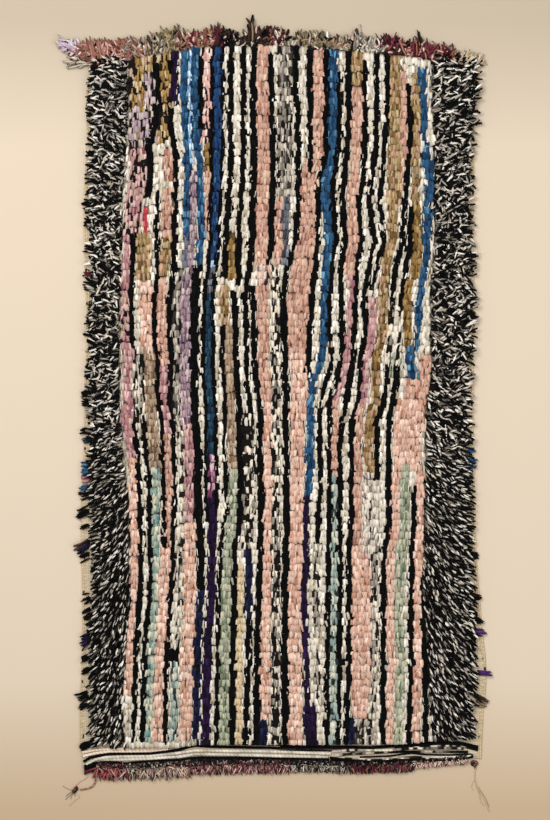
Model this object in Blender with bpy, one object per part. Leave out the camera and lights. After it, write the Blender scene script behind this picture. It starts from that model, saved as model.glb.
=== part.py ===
"""Boucherouite rug laid out flat: a knotted rag pile on a woven ground, with its flat-woven end,
the comb of rag tufts along its heading, the short fringe of its other end, and a loose knotted
cord at each corner of that end.

Metres, +Z up. The rug lies on Z = 0 with its heading towards +Y. The origin is under the middle
of the box round the cloth and its two fringes."""

import math
from collections import namedtuple

import bmesh
import bpy
from mathutils import Vector

# Driving sizes
GROUND_THICK = 0.005  # the woven ground, bare at the selvedges and at the flat-woven end
PILE_HIGH = 0.022  # top of the knotted pile
PILE_SWELL = 0.0012  # how much the pile's height wanders
SELVEDGE = 0.012  # bare ground along each side
PILE_SHOULDER = 0.012  # width over which the pile rises from the ground
HEADING_HIGH = 0.016  # pile height at the heading, where the tufts start
END_BAND = 0.062  # depth of the flat-woven end
HEAD_FRINGE_THICK = 0.014
END_FRINGE_THICK = 0.006
TOOTH_PITCH = 0.021  # one clump of the heading's rags
TUFTED = 0.012  # the clumps' own height above the heading, before they part
VALLEY = 0.008  # how high the valleys between clumps, and between tips, start
SHORTER = (0.006, 0.003)  # by how much every second tip, and every third, falls short
LEFT_CLUMP_RISE = (0.030, 0.010)  # the first two clumps' lower edges, above the heading's corner
END_TOOTH_PITCH = 0.030
GAP = 0.0003  # between pieces that touch
SHARP = math.radians(35)  # edges keener than this stay sharp
FIELD_COLUMNS = 12  # cells across the pile, between its shoulders
FIELD_ROWS = 26  # cells along it

# The two sides: where each selvedge runs, at places along the rug.
Side = namedtuple("Side", "along left right")
SIDES = (
    Side(-1.110, -0.558, 0.633),
    Side(-1.026, -0.570, 0.636),
    Side(-0.906, -0.570, 0.642),
    Side(-0.822, -0.564, 0.654),
    Side(-0.726, -0.564, 0.639),
    Side(-0.606, -0.561, 0.630),
    Side(-0.456, -0.567, 0.618),
    Side(-0.306, -0.567, 0.615),
    Side(-0.156, -0.558, 0.612),
    Side(-0.006, -0.558, 0.609),
    Side(0.144, -0.552, 0.612),
    Side(0.294, -0.552, 0.615),
    Side(0.444, -0.558, 0.609),
    Side(0.594, -0.561, 0.612),
    Side(0.744, -0.549, 0.612),
    Side(0.864, -0.552, 0.618),
    Side(0.939, -0.552, 0.624),
    Side(1.014, -0.540, 0.633),
)

# The two ends: how far along the rug its cloth reaches, at places across it.
End = namedtuple("End", "across foot head")
ENDS = (
    End(-0.560, -1.110, 1.005),
    End(-0.420, -1.113, 1.020),
    End(-0.300, -1.110, 1.044),
    End(-0.210, -1.104, 1.062),
    End(-0.060, -1.101, 1.065),
    End(0.090, -1.101, 1.062),
    End(0.240, -1.106, 1.050),
    End(0.390, -1.104, 1.032),
    End(0.510, -1.092, 1.018),
    End(0.640, -1.080, 1.005),
)

# The clumps of rag along the heading, and how far along the rug their tips reach.
Clump = namedtuple("Clump", "start end tips")
HEAD_CLUMPS = (
    Clump(-0.654, -0.594, 1.092),
    Clump(-0.594, -0.534, 1.086),
    Clump(-0.534, -0.390, 1.095),
    Clump(-0.390, -0.330, 1.098),
    Clump(-0.330, -0.276, 1.116),
    Clump(-0.276, -0.210, 1.104),
    Clump(-0.210, -0.105, 1.110),
    Clump(-0.105, -0.060, 1.080),
    Clump(-0.060, -0.040, 1.143),
    Clump(-0.040, 0.045, 1.110),
    Clump(0.045, 0.210, 1.095),
    Clump(0.210, 0.246, 1.074),
    Clump(0.246, 0.306, 1.110),
    Clump(0.306, 0.345, 1.092),
    Clump(0.345, 0.546, 1.080),
    Clump(0.546, 0.633, 1.040),
)

# The frayed fringe below the flat-woven end, and how far its tips hang.
END_CLUMPS = (
    Clump(-0.520, -0.270, -1.143),
    Clump(-0.270, 0.230, -1.128),
    Clump(0.230, 0.440, -1.126),
    Clump(0.440, 0.585, -1.106),
)

# The loose corner cords: their routes across the floor, and the knots on them.
Cord = namedtuple("Cord", "name diameter route")
CORDS = (
    Cord(
        "corner_cord_left",
        0.0050,
        ((-0.541, -1.1143), (-0.533, -1.124), (-0.526, -1.138), (-0.525, -1.153),
         (-0.532, -1.166), (-0.546, -1.173), (-0.562, -1.176), (-0.571, -1.177)),
    ),
    Cord(
        "corner_cord_right",
        0.0030,
        ((0.618, -1.1115), (0.616, -1.128), (0.617, -1.147), (0.624, -1.168),
         (0.634, -1.188), (0.645, -1.208), (0.653, -1.226), (0.660, -1.243)),
    ),
)
CORD_SPACING = 2.5  # diameters between the points of a cord's tube
Knot = namedtuple("Knot", "name middle half_length half_width half_height turn")
KNOTS = (
    Knot("corner_knot_left", (-0.585, -1.177), 0.0160, 0.0060, 0.0045, math.radians(62)),
    Knot("corner_knot_right", (0.614, -1.0975), 0.0140, 0.0125, 0.0060, math.radians(12)),
)

Paint = namedtuple("Paint", "colour roughness")
PAINTS = {
    "knotted_pile": Paint((0.42, 0.34, 0.29), 0.95),
    "rag_tufts": Paint((0.22, 0.11, 0.09), 0.95),
    "frayed_ends": Paint((0.25, 0.12, 0.11), 0.95),
    "brown_cord": Paint((0.20, 0.09, 0.05), 0.90),
    "pale_cord": Paint((0.50, 0.42, 0.30), 0.90),
}


def clear_scene():
    for old in list(bpy.data.objects):
        bpy.data.objects.remove(old)


def finish(name):
    """The named material, with its plain colour."""
    made = bpy.data.materials.new(name)
    made.use_nodes = True
    shader = made.node_tree.nodes["Principled BSDF"]
    shader.inputs["Base Color"].default_value = (*PAINTS[name].colour, 1.0)
    shader.inputs["Roughness"].default_value = PAINTS[name].roughness
    shader.inputs["Metallic"].default_value = 0.0
    return made


def place(collection, name, data, material):
    made = bpy.data.objects.new(name, data)
    made.data.materials.append(material)
    collection.objects.link(made)
    return made


def read(table, key, column, at):
    """A column of a table, read between its rows."""
    rows = sorted(table, key=lambda row: getattr(row, key))
    if at <= getattr(rows[0], key):
        return getattr(rows[0], column)
    for low, high in zip(rows, rows[1:]):
        if at <= getattr(high, key):
            share = (at - getattr(low, key)) / (getattr(high, key) - getattr(low, key))
            return getattr(low, column) * (1 - share) + getattr(high, column) * share
    return getattr(rows[-1], column)


def mix(low, high, share):
    return low + (high - low) * share


def cloth_point(across, along):
    """The place on the cloth at these shares of its width and length, from its left foot corner."""
    corners = {side: (read(ENDS, "across", "foot", x), read(ENDS, "across", "head", x))
               for side, x in (("left", SIDES[0].left), ("right", SIDES[0].right))}
    left = read(SIDES, "along", "left", mix(*corners["left"], along))
    right = read(SIDES, "along", "right", mix(*corners["right"], along))
    x = mix(left, right, across)
    y = mix(read(ENDS, "across", "foot", x), read(ENDS, "across", "head", x), along)
    return x, y


def stations(total, start, end, rise, cells):
    """Shares of a length: its ends, the foot and top of each shoulder, and even cells between."""
    low, high = start + rise, total - end - rise
    inner = [low + (high - low) * i / cells for i in range(cells + 1)]
    return [at / total for at in [0.0, start, *inner, total - end, total]]


def cloth_grid():
    """Shares across and along the cloth at which its mesh has a line."""
    wide = SIDES[0].right - SIDES[0].left
    long = ENDS[0].head - ENDS[0].foot
    across = stations(wide, SELVEDGE, SELVEDGE, PILE_SHOULDER, FIELD_COLUMNS)
    along = stations(long, END_BAND, 0.0, PILE_SHOULDER, FIELD_ROWS)
    return across, along[:-1]


def cloth_height(column, row, columns, rows):
    """Top of the cloth at a line of its mesh: bare ground at the sides and the foot, then pile."""
    if column < 2 or column > columns - 2 or row < 2:
        return GROUND_THICK
    if row == rows:
        return HEADING_HIGH
    swell = math.sin(column * 1.9 + row * 0.7) * math.cos(row * 1.3 - column * 0.5)
    return PILE_HIGH + PILE_SWELL * swell


def rug_cloth(collection):
    """Ground, pile and flat-woven end as the one cloth that they are, flat underneath."""
    across, along = cloth_grid()
    columns, rows = len(across) - 1, len(along) - 1
    bm = bmesh.new()
    bmesh.ops.create_grid(bm, x_segments=columns, y_segments=rows, size=0.5)
    for v in bm.verts:
        column, row = round((v.co.x + 0.5) * columns), round((v.co.y + 0.5) * rows)
        x, y = cloth_point(across[column], along[row])
        v.co = (x, y, cloth_height(column, row, columns, rows))
    lower = bmesh.ops.extrude_face_region(bm, geom=bm.faces[:], use_keep_orig=True)["geom"]
    for v in [g for g in lower if isinstance(g, bmesh.types.BMVert)]:
        v.co.z = 0.0
    bmesh.ops.recalc_face_normals(bm, faces=bm.faces[:])
    mesh = bpy.data.meshes.new("rug_cloth")
    bm.to_mesh(mesh)
    bm.free()
    mesh.shade_smooth()
    mesh.set_sharp_from_angle(angle=SHARP)
    return place(collection, "rug_cloth", mesh, finish("knotted_pile"))


def cloth_edge(along, start, end):
    """The cloth's foot (0) or head (1) edge between two places across it, both ends included."""
    line = [cloth_point(u, along) for u in cloth_grid()[0]]
    inner = [point for point in line if start < point[0] < end]
    cuts = []
    for x in (start, end):
        for (x0, y0), (x1, y1) in zip(line, line[1:]):
            if x0 <= x <= x1:
                cuts.append((x, mix(y0, y1, (x - x0) / (x1 - x0))))
                break
    return [cuts[0], *inner, cuts[-1]]


def teeth(clumps, pitch, root, tip_sign):
    """The toothed edge of a fringe: a tip and a valley for each clump of rags, left to right."""
    edge = []
    for clump in clumps:
        count = max(1, round((clump.end - clump.start) / pitch))
        step = (clump.end - clump.start) / count
        for i in range(count):
            x = clump.start + step * (i + 0.5)
            short = SHORTER[0] * (i % 2) + SHORTER[1] * (i % 3 == 1)
            edge.append((x, clump.tips - tip_sign * short))
            valley = clump.start + step * (i + 1)
            edge.append((valley, root(valley) + tip_sign * VALLEY))
    return edge[:-1]


def flat_outline(collection, name, points, thick, material):
    """A flat solid of this outline, standing on Z = 0."""
    bm = bmesh.new()
    under = bm.faces.new([bm.verts.new((x, y, 0.0)) for x, y in points])
    raised = bmesh.ops.extrude_face_region(bm, geom=[under], use_keep_orig=True)["geom"]
    for v in [g for g in raised if isinstance(g, bmesh.types.BMVert)]:
        v.co.z = thick
    bmesh.ops.recalc_face_normals(bm, faces=bm.faces[:])
    if bm.calc_volume(signed=True) < 0:
        bmesh.ops.reverse_faces(bm, faces=bm.faces[:])
    mesh = bpy.data.meshes.new(name)
    bm.to_mesh(mesh)
    bm.free()
    return place(collection, name, mesh, material)


def head_fringe(collection):
    """The heading's rag tufts as one comb. Its first clumps hang off past the left selvedge."""
    left, right = cloth_point(0.0, 1.0)[0], cloth_point(1.0, 1.0)[0]
    root = [(x, y + GAP) for x, y in cloth_edge(1.0, left, right)]
    off_the_side = [(clump.start, root[0][1] + rise)
                    for clump, rise in zip(HEAD_CLUMPS, LEFT_CLUMP_RISE)]
    tips = teeth(HEAD_CLUMPS, TOOTH_PITCH, lambda x: read(ENDS, "across", "head", x) + TUFTED, 1)
    outline = off_the_side + root + tips[::-1]
    return flat_outline(collection, "head_fringe", outline, HEAD_FRINGE_THICK, finish("rag_tufts"))


def end_fringe(collection):
    """The frayed fringe below the flat-woven end, as one comb."""
    root = [(x, y - GAP) for x, y in cloth_edge(0.0, END_CLUMPS[0].start, END_CLUMPS[-1].end)]
    tips = teeth(END_CLUMPS, END_TOOTH_PITCH, lambda x: read(ENDS, "across", "foot", x), -1)
    outline = tips + root[::-1]
    return flat_outline(collection, "end_fringe", outline, END_FRINGE_THICK, finish("frayed_ends"))


def smooth_route(points, steps):
    """Points along a Catmull-Rom curve through these."""
    ends = [2 * points[0] - points[1], *points, 2 * points[-1] - points[-2]]
    made = []
    for a, b, c, d in zip(ends, ends[1:], ends[2:], ends[3:]):
        for i in range(steps):
            t = i / steps
            made.append(0.5 * (2 * b + (c - a) * t + (2 * a - 5 * b + 4 * c - d) * t**2
                               + (3 * b - a - 3 * c + d) * t**3))
    return [*made, points[-1]]


def corner_cord(collection, cord, material):
    """A loose cord that lies on the floor."""
    curve = bpy.data.curves.new(cord.name, "CURVE")
    curve.dimensions = "3D"
    curve.bevel_depth = cord.diameter / 2
    curve.bevel_resolution = 2
    curve.use_fill_caps = True
    points = [Vector((x, y, cord.diameter / 2)) for x, y in cord.route]
    stretch = sum((b - a).length for a, b in zip(points, points[1:])) / (len(points) - 1)
    route = smooth_route(points, max(1, round(stretch / (CORD_SPACING * cord.diameter))))
    spline = curve.splines.new("POLY")
    spline.points.add(len(route) - 1)
    for point, at in zip(spline.points, route):
        point.co = (*at, 1.0)
    return place(collection, cord.name, curve, material)


def corner_knot(collection, knot, material):
    """The lump where a corner cord is knotted, pressed flat where it lies."""
    bm = bmesh.new()
    bmesh.ops.create_uvsphere(bm, u_segments=16, v_segments=8, radius=1.0)
    for v in bm.verts:
        v.co = (v.co.x * knot.half_length, v.co.y * knot.half_width,
                max(0.0, (v.co.z + 0.85) * knot.half_height))
    mesh = bpy.data.meshes.new(knot.name)
    bm.to_mesh(mesh)
    bm.free()
    mesh.shade_smooth()
    made = place(collection, knot.name, mesh, material)
    made.location = (*knot.middle, 0.0)
    made.rotation_euler.z = knot.turn
    return made


def main():
    clear_scene()
    rug = bpy.data.collections.new("boucherouite_rug")
    bpy.context.scene.collection.children.link(rug)
    rug_cloth(rug)
    head_fringe(rug)
    end_fringe(rug)
    brown, pale = finish("brown_cord"), finish("pale_cord")
    for cord, material in zip(CORDS, (brown, pale)):
        corner_cord(rug, cord, material)
    for knot in KNOTS:
        corner_knot(rug, knot, brown)


main()
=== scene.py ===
"""Looks of a boucherouite rug laid out flat: its woven ground, the rag pile knotted into it in wandering
stripes, the speckled borders, the flat-woven end, the two fringes and the two corner cords."""

import math
import random
from collections import namedtuple

import bmesh
import bpy
import numpy as np
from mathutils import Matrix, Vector, noise


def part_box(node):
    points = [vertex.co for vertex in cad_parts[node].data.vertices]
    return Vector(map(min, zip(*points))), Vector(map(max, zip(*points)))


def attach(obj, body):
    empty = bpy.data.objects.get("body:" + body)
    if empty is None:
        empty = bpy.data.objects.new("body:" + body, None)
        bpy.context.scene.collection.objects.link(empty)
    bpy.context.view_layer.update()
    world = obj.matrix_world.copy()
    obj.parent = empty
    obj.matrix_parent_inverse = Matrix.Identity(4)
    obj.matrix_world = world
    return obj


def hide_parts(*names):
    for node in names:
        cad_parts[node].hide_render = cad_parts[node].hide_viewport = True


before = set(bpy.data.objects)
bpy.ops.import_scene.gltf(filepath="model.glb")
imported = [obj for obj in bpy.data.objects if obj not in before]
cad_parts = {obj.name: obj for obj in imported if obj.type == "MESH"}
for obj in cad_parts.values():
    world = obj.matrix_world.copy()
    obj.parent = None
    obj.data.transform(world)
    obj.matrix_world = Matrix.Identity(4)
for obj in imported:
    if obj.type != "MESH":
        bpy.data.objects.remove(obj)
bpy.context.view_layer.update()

# ---------------------------------------------------------------------------------------------------
# Sizes, in metres. The chart of the stripes is in centimetres: down from the heading, and across from
# the rug's middle line.

CM = 0.01
CLOTH_LOW, CLOTH_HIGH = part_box("rug_cloth")
HEADING = 1.062  # where the chart of the stripes starts
GROUND_THICK = 0.0042
GROUND_CELLS = (96, 120)
ROW_PITCH = 0.0203  # from one row of knots to the next
KNOT_WIDE = 0.0165  # what one knot of the striped field covers across
STRIP_WIDE = 0.0068  # one strip of rag in the striped field
BORDER_KNOT = 0.0120  # what one knot of a border covers across
FIELD_PIECES = 5
SMALLEST_RUN = 0.004  # a stripe narrower than this has no knot of its own
BLACK_GAIN = 0.22  # what the black lines gain on the chart, in centimetres, as they press the rest apart
TALLEST = 0.0205  # the pile's height


# ---------------------------------------------------------------------------------------------------
# The colours of the rags and yarns: how much a yarn varies, then each of its shades and how often it
# turns up.

YARNS = {
    "black": (0.1, "030303*8 0c0908*2"),
    "cream": (0.1, "cdc4b3*6 e9e1d5*3 a89c87*2"),
    "cream_grey": (0.1, "d6ccbd*4 efe8dd*3 a49c91*4 6e685f*2"),
    "salmon": (0.1, "bb9482*6 cfa995*3 9c6d5d*2 d2b89f*1"),
    "shell": (0.1, "d0aa97*6 e4c7b6*3 b78872*2"),
    "rose": (0.12, "ab817f*5 94626a*2 ccaaa4*3"),
    "rose_fleck": (0.1, "ab7f7e*5 cba7a2*3 171011*4 b39d88*2 7b434e*1"),
    "rust": (0.08, "a83842*5 c25f5f*3 d18c80*1"),
    "lilac": (0.12, "98808a*6 bda8a6*3 5f4d5a*3"),
    "lilac_fleck": (0.08, "a8929b*5 bfafa8*3 8b7a5c*1 161112*3"),
    "blue": (0.16, "2c5171*6 193654*4 5c8ba6*1"),
    "sky": (0.06, "9db9d0*4 dbe4ea*3 5f8eb4*2"),
    "deep_blue": (0.14, "23406a*6 152b4b*3 3c6388*1"),
    "petrol": (0.14, "233d50*6 152939*3 3a5f6a*1"),
    "navy": (0.1, "151733*6 1f2240*2 0d0b12*3"),
    "aubergine": (0.1, "20112e*6 2c1840*2 120c18*3"),
    "magenta_fleck": (0.08, "a8748a*4 6f3a52*3 1a1220*6 d2b3b8*3"),
    "bead_fleck": (0.06, "d3a89f*5 c08d88*2 1a1416*3 e3cfc0*2"),
    "teal_fleck": (0.08, "a0aa9e*5 7f918a*3 c9c8b6*3 2a3332*2"),
    "teal": (0.12, "96a090*4 c2c0ab*3 6e8d87*3 4b6e71*1 dccfb8*1"),
    "sage": (0.12, "9da08a*5 bab8a2*3 707b62*2 cfc5ac*1"),
    "gold": (0.12, "8c6d40*5 a78b59*3 5f4624*3"),
    "gold_fleck": (0.1, "9a7a48*4 c0ad8b*3 84673a*2 1a120e*5 b89886*1"),
    "gold_cream": (0.12, "8f764f*5 b8a17a*3 664c2c*3 b48f77*2"),
    "tan": (0.12, "9b836d*5 b8a48d*3 6b5542*2"),
    "pale_tan": (0.05, "c6b08c*6 d4c29f*3"),
    "ash": (0.12, "7b736a*4 ada396*4 37312d*3 c6bbab*2 141110*4"),
    "slate": (0.1, "5f6268*4 7c7f86*3 3c3c46*3"),
    "ash_rose": (0.1, "c49c8d*4 ab9389*3 dcc6b4*3 2a2220*2"),
    "pepper": (0.08, "15110f*6 e0d5c3*3 8c8478*2"),
    "pepper_light": (0.08, "1c1714*3 d9cebb*4 9a9184*4"),
    "pale_ash": (0.08, "b5a99c*4 d3c8b9*4 7d746b*2 e8dfd0*2 2a2420*1"),
    "mottled_dark": (0.1, "100c0e*5 281d1b*3 4a3f3a*2 1f2135*1"),
    "mottled_brown": (0.1, "40362f*3 776b5f*3 15110f*3 9b9083*1"),
    "burgundy": (0.1, "4f1c26*6 6a2833*3 7d4048*2 2c0f14*2"),
    "dusty_rust": (0.08, "8d5b4a*5 a37560*3 6f4035*2 c79a92*1"),
    "khaki": (0.08, "86785b*5 9c8d6c*3 645a43*2"),
    "brown_pink": (0.08, "8b6355*5 a98674*2 6b4638*3"),
    "dark_brown": (0.08, "33241f*6 1d1413*3 4a342c*2"),
    "pale_lilac": (0.05, "cdbfca*5 ded5dc*4 b5a3b3*2"),
    "grey_beige": (0.06, "a39888*5 bdb3a2*3 7f7567*2"),
    "peach": (0.04, "e3cdb6*5 ead9c6*3 d8b9a0*1"),
    "pale_pink": (0.06, "d3aaa0*5 dfc3b4*3 b98278*1"),
    "purple": (0.08, "40225c*5 5a3576*2"),
    "thread_beige": (0.05, "c3ad86*5 d1bf9b*3"),
}


def linear(code):
    """Scene-linear colour of a hex code."""
    parts = [int(code[i:i + 2], 16) / 255 for i in (0, 2, 4)]
    return tuple(c / 12.92 if c <= 0.04045 else ((c + 0.055) / 1.055) ** 2.4 for c in parts)


def shades_of(listed):
    """Colours, and how often each turns up."""
    words = [word.split("*") for word in listed.split()]
    return [linear(code) for code, _ in words], [int(often) for _, often in words]


SHADES = {name: shades_of(listed) for name, (_, listed) in YARNS.items()}
MEANS = {name: tuple(np.average(colours, axis=0, weights=often))
         for name, (colours, often) in SHADES.items()}
WARMTH = 0.02  # how much a rag's colour strays towards red or blue


def shade(name, rng):
    """One rag's colour, drawn from its yarn's shades and varied a little."""
    colours, often = SHADES[name]
    light = 1.0 + YARNS[name][0] * rng.gauss(0.0, 1.0)
    warm = WARMTH * rng.gauss(0.0, 1.0)
    red, green, blue = rng.choices(colours, often)[0]
    return (red * light * (1 + warm), green * light, blue * light * (1 - warm), 1.0)


def blend_colours(first, second):
    return tuple((a + b) / 2 for a, b in zip(first, second))


# ---------------------------------------------------------------------------------------------------
# The chart. Cream fills the field, and these stripes are knotted over it in this order. A row gives the
# yarn, how wide the stripe is, and its path as down:across.

Stripe = namedtuple("Stripe", "yarn wide path")


def pairs(text):
    """Pairs of numbers, written as 1:2 3:4."""
    return tuple(tuple(float(number) for number in word.split(":")) for word in text.split())


def charted_rows(*rows):
    words = [row.split(maxsplit=2) for row in rows]
    return [Stripe(yarn, float(wide), pairs(path)) for yarn, wide, path in words]


BROAD_STRIPES = charted_rows(
    # left third
    "gold_fleck 4.8 0:-39.8 17:-40.4 28:-42",
    "gold_fleck 3.8 0:-36 8:-36",
    "lilac_fleck 3.8 8:-35.7 19:-35.7",
    "lilac_fleck 9.6 19:-38.6 30:-38.6",
    "rose_fleck 5.4 30:-39.2 40:-39.6 48:-40.4 56:-41",
    "gold_fleck 4.2 0:-31.6 29:-31.8",
    "salmon 2.7 31:-30.9 40:-30.6",
    "aubergine 2.4 2:-28.8 17:-28.8",
    "rust 1.2 48:-37.2 61:-37",
    "gold_cream 4.4 56:-38.2 70:-38",
    "shell 3.7 70:-37.2 91:-37.1",
    "tan 3.6 91:-36.4 107:-36 113:-35.8 122:-35 127:-34.8",
    "teal 2.4 127:-34.6 143:-34.4 164:-34.7 173:-35 185:-35.8 209:-36.4",
    "rose 2.6 56:-42.4 70:-43",
    "rose_fleck 2.8 70:-43 89:-43.1",
    "rose 3 89:-42.8 107:-42.6 113:-43 122:-41.8",
    "shell 2.4 122:-41.8 134:-40.6 152:-40.9 164:-41.1 173:-42 194:-42.4",
    "salmon 3 42:-30.6 57:-31",
    "gold_cream 2.9 57:-31.2 70:-31.8",
    "salmon 2.8 70:-32 77:-32.4 86:-32.4 95:-31.9",
    "rose 2.5 95:-31.9 107:-31.7 116:-31",
    "salmon 2.5 116:-31 122:-30.6 134:-30.3 146:-30.6",
    "shell 3.1 146:-30.9 152:-31.2 164:-31.8 173:-32.4 185:-33 209:-33.7",
    "slate 1.9 57:-25.3 66:-25.7",
    "ash 2 66:-26.1 72:-27.6 77:-28.2 113:-28.2",
    "pepper_light 1.9 113:-27.6 122:-26.7 134:-26.2 152:-26.6 164:-26.8 173:-27.4 180:-27.9",
    "black 3.2 180.5:-28.8 184.5:-28.8",
    "teal_fleck 2.4 184.5:-28.6 209:-28.8",
    "lilac 2 56:-23.6 68:-24",
    "lilac 3 68:-24.4 77:-25.4 95:-25.5 107:-25.2 113:-25",
    "rose 2.7 113:-25 122:-24.3 143:-24.2",
    "shell 3.4 143:-24.1 164:-24.1 173:-24.3 185:-24.9 209:-25.5",
    # the three blues left of the middle
    "blue 2.3 0:-25.8 17:-25.8 30:-25.1 36:-24.8",
    "blue 1.8 36:-24.8 47:-25 57:-25.3",
    "blue 2.8 0:-22.5 17:-22.4 32:-22",
    "sky 0.9 0:-24.3 17:-24.2 36:-23.8",
    "lilac 1.8 38:-23 57:-23.1",
    "blue 2 32:-21.8 38:-21 47:-20.8 59:-20.8 66:-21.3",
    "bead_fleck 2.6 0:-19.2 29:-19.2",
    "gold 2.1 29:-18.9 38:-18.9",
    "salmon 1.6 38:-18.7 57:-18.7",
    "deep_blue 2.4 0:-15.9 32:-15.7 47:-16.2 59:-16.8 64:-17",
    "sky 1.7 62.5:-17.2 66:-17.2",
    "slate 1.6 66:-17.2 73:-18",
    "petrol 2.1 73.5:-18.3 77:-18.7 95:-18.7 107:-18.1",
    "petrol 2.1 107:-18.1 122:-17.7",
    "magenta_fleck 2.1 122:-17.6 134:-17.5",
    "aubergine 2.6 134:-17.4 143:-17.1 152:-17.4 164:-17.6 173:-18.2 185:-18.9 209:-19.2",
    # between the blues and the middle
    "gold 2.1 56:-11.6 70:-11.3",
    "gold_cream 2.8 71:-13.2 77:-13.9 83:-13.8",
    "tan 2.3 83:-12.4 95:-12.4 107:-11.8 122:-11.4 128:-11.2",
    "sage 2.9 126:-11.1 134:-11.1 143:-11.6 152:-12.8 164:-13.1 185:-13.7 209:-13.8",
    "pale_tan 2 155:-9.2 164:-9 185:-9.3 209:-9.3",
    "pepper 3.5 111:-6.5 122:-6.6 134:-6.3 143:-6.6 151:-6.8",
    "navy 2.2 151:-6.6 172:-6.4",
    "salmon 3.6 0:-2.3 17:-2.3 32:-2 47:-2 59:-2.7 66:-2.7",
    "ash_rose 4.6 65:-1.4 72:-1.2",
    "salmon 3.4 72:-2.3 77:-2.3 95:-2 107:-1.1",
    "shell 2.4 107:-1 122:-0.8 134:-0.6 152:-0.9",
    "shell 3 152:-1 164:-1.1 173:-1.5 201:-1.5",
    "navy 2.9 201:-2.3 209:-2.3",
    "pepper 2.5 66:1.3 77:1.7 95:1.6 107:1.8 122:1.6 152:1.7 209:1.6",
    "ash 4.5 0:4.4 46:4.4",
    "salmon 3 46:2.9 66:2.5",
    "slate 2 46:5 66:4.5",
    # right of the middle
    "salmon 4.3 0:14.4 20:14.6 34:14.1",
    "salmon 5.2 34:12.9 38:11.8 47:11.6 59:11.1",
    "salmon 6.2 59:11 66:10 72:9.1 77:8.4 92:8.3",
    "shell 4.9 92:8.4 101:8.6 107:8.7 113:8.2",
    "shell 4 113:8.2 134:8.1 152:7.8 164:7.4 209:7.5",
    "blue 2.7 0:18.8 32:18.9 37:17.8 41:16.9 47:16.8 59:17.5 68:16.8",
    "blue 2.2 68:16.8 77:16.2 86:15.9 92:15.6 96:15.1 99:14.6",
    "blue 2.4 98:13.6 101:12.8 107:12.5 113:12 134.5:11.7",
    "aubergine 1.8 134.5:10.8 152:10.8 164:10.2 173:10.3 185:10.8 197:11",
    "aubergine 3.9 197:11.6 203:12 209:12.3",
    "pepper_light 1.8 150:14 164:13.5 173:14 185:13.8 196:14.2",
    "gold_cream 3.2 0:26.1 12:26.1",
    "salmon 3 12:26.1 26:26 36:25.4 41:25 47:24.6",
    "salmon 3.1 47:24.6 59:24.8 68:23.9",
    "rose 1.9 68:24 77:24.4 86:23.7 95:23 101:22 107:19.9",
    "salmon 1.9 107:19.7 113:19.9 122:19.3 128:19.3",
    "teal_fleck 2.1 128:19.5 152:19.4 185:18.9 209:18.9",
    "rose 2.3 74:31.2 77:30.9 86:30.6 92:29.6 95:28.8 101:28.7 107:28.2",
    "salmon 2.5 107:28 113:26.9 122:26.3 150:26.2",
    "shell 5.6 150:26.8 164:27.3 202:27.2",
    "navy 2.2 202:24.4 209:24.4",
    "ash 2.6 202:27 209:27",
    "gold_cream 3.6 0:37.4 17:37.5 32:37.5",
    "gold_cream 4.4 32:37.5 47:37.2",
    "gold_cream 3.3 47:37.1 59:36.5 68:34.8",
    "gold_cream 2.9 68:34.8 77:33.9 86:33.8 92:32.6",
    "gold 2.7 92:32 98:31.8",
    "gold_cream 2.9 98:31.8 107:31.8 113:30 122:29.6 128:29.8",
    "pale_ash 4.6 128:30.3 134:30.5 143:30.8 151:30.2",
    "pepper_light 2.1 151:31.2 185:31.2 203:30.4 209:30.3",
    "salmon 1.7 8:40.2 26:40.3 44:40",
    "gold_cream 2.4 8:43.7 28:43.8 47:43.6",
    "gold 2.8 47:43.8 59:44.2 69:43.6",
    "gold 2.4 70:42.4 77:41.3 90:41.3",
    "sage 3.2 91:38.4 95:38 99:37.8",
    "blue 3 6:45.6 12:45.6",
    "blue 1.9 12:46.2 26:46",
    "blue 1.2 26:46.2 31:46.8",
    "blue 3 31:46.5 35:46.9",
    "blue 2.5 35:47.4 41:48 48:47.3 59:47",
    "blue 2.1 59:47 65:46.7 69:46.2 77:44.8 86:44.4 92:43.6",
    "blue 2.8 89:42.4 92:42 96:42.1 99.5:42.6",
    "salmon 4 92:46.8 99:46.6",
    "salmon 7.4 99.5:44.2 105:43.6",
    "shell 8.4 105:42.6 110:41.9 122:41.2 128:41.2",
    "shell 2.5 128:37.7 143:37.5 152:36.3 173:35.9 185:36.4 209:35.6",
    "shell 2.3 128:45 143:45 152:44.4 173:44 185:44.3 209:43.9",
    "sage 2.9 125:40.5 143:40.3 152:39.5 164:38.9 173:38.6 185:39.1 209:38.1",
)
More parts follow.
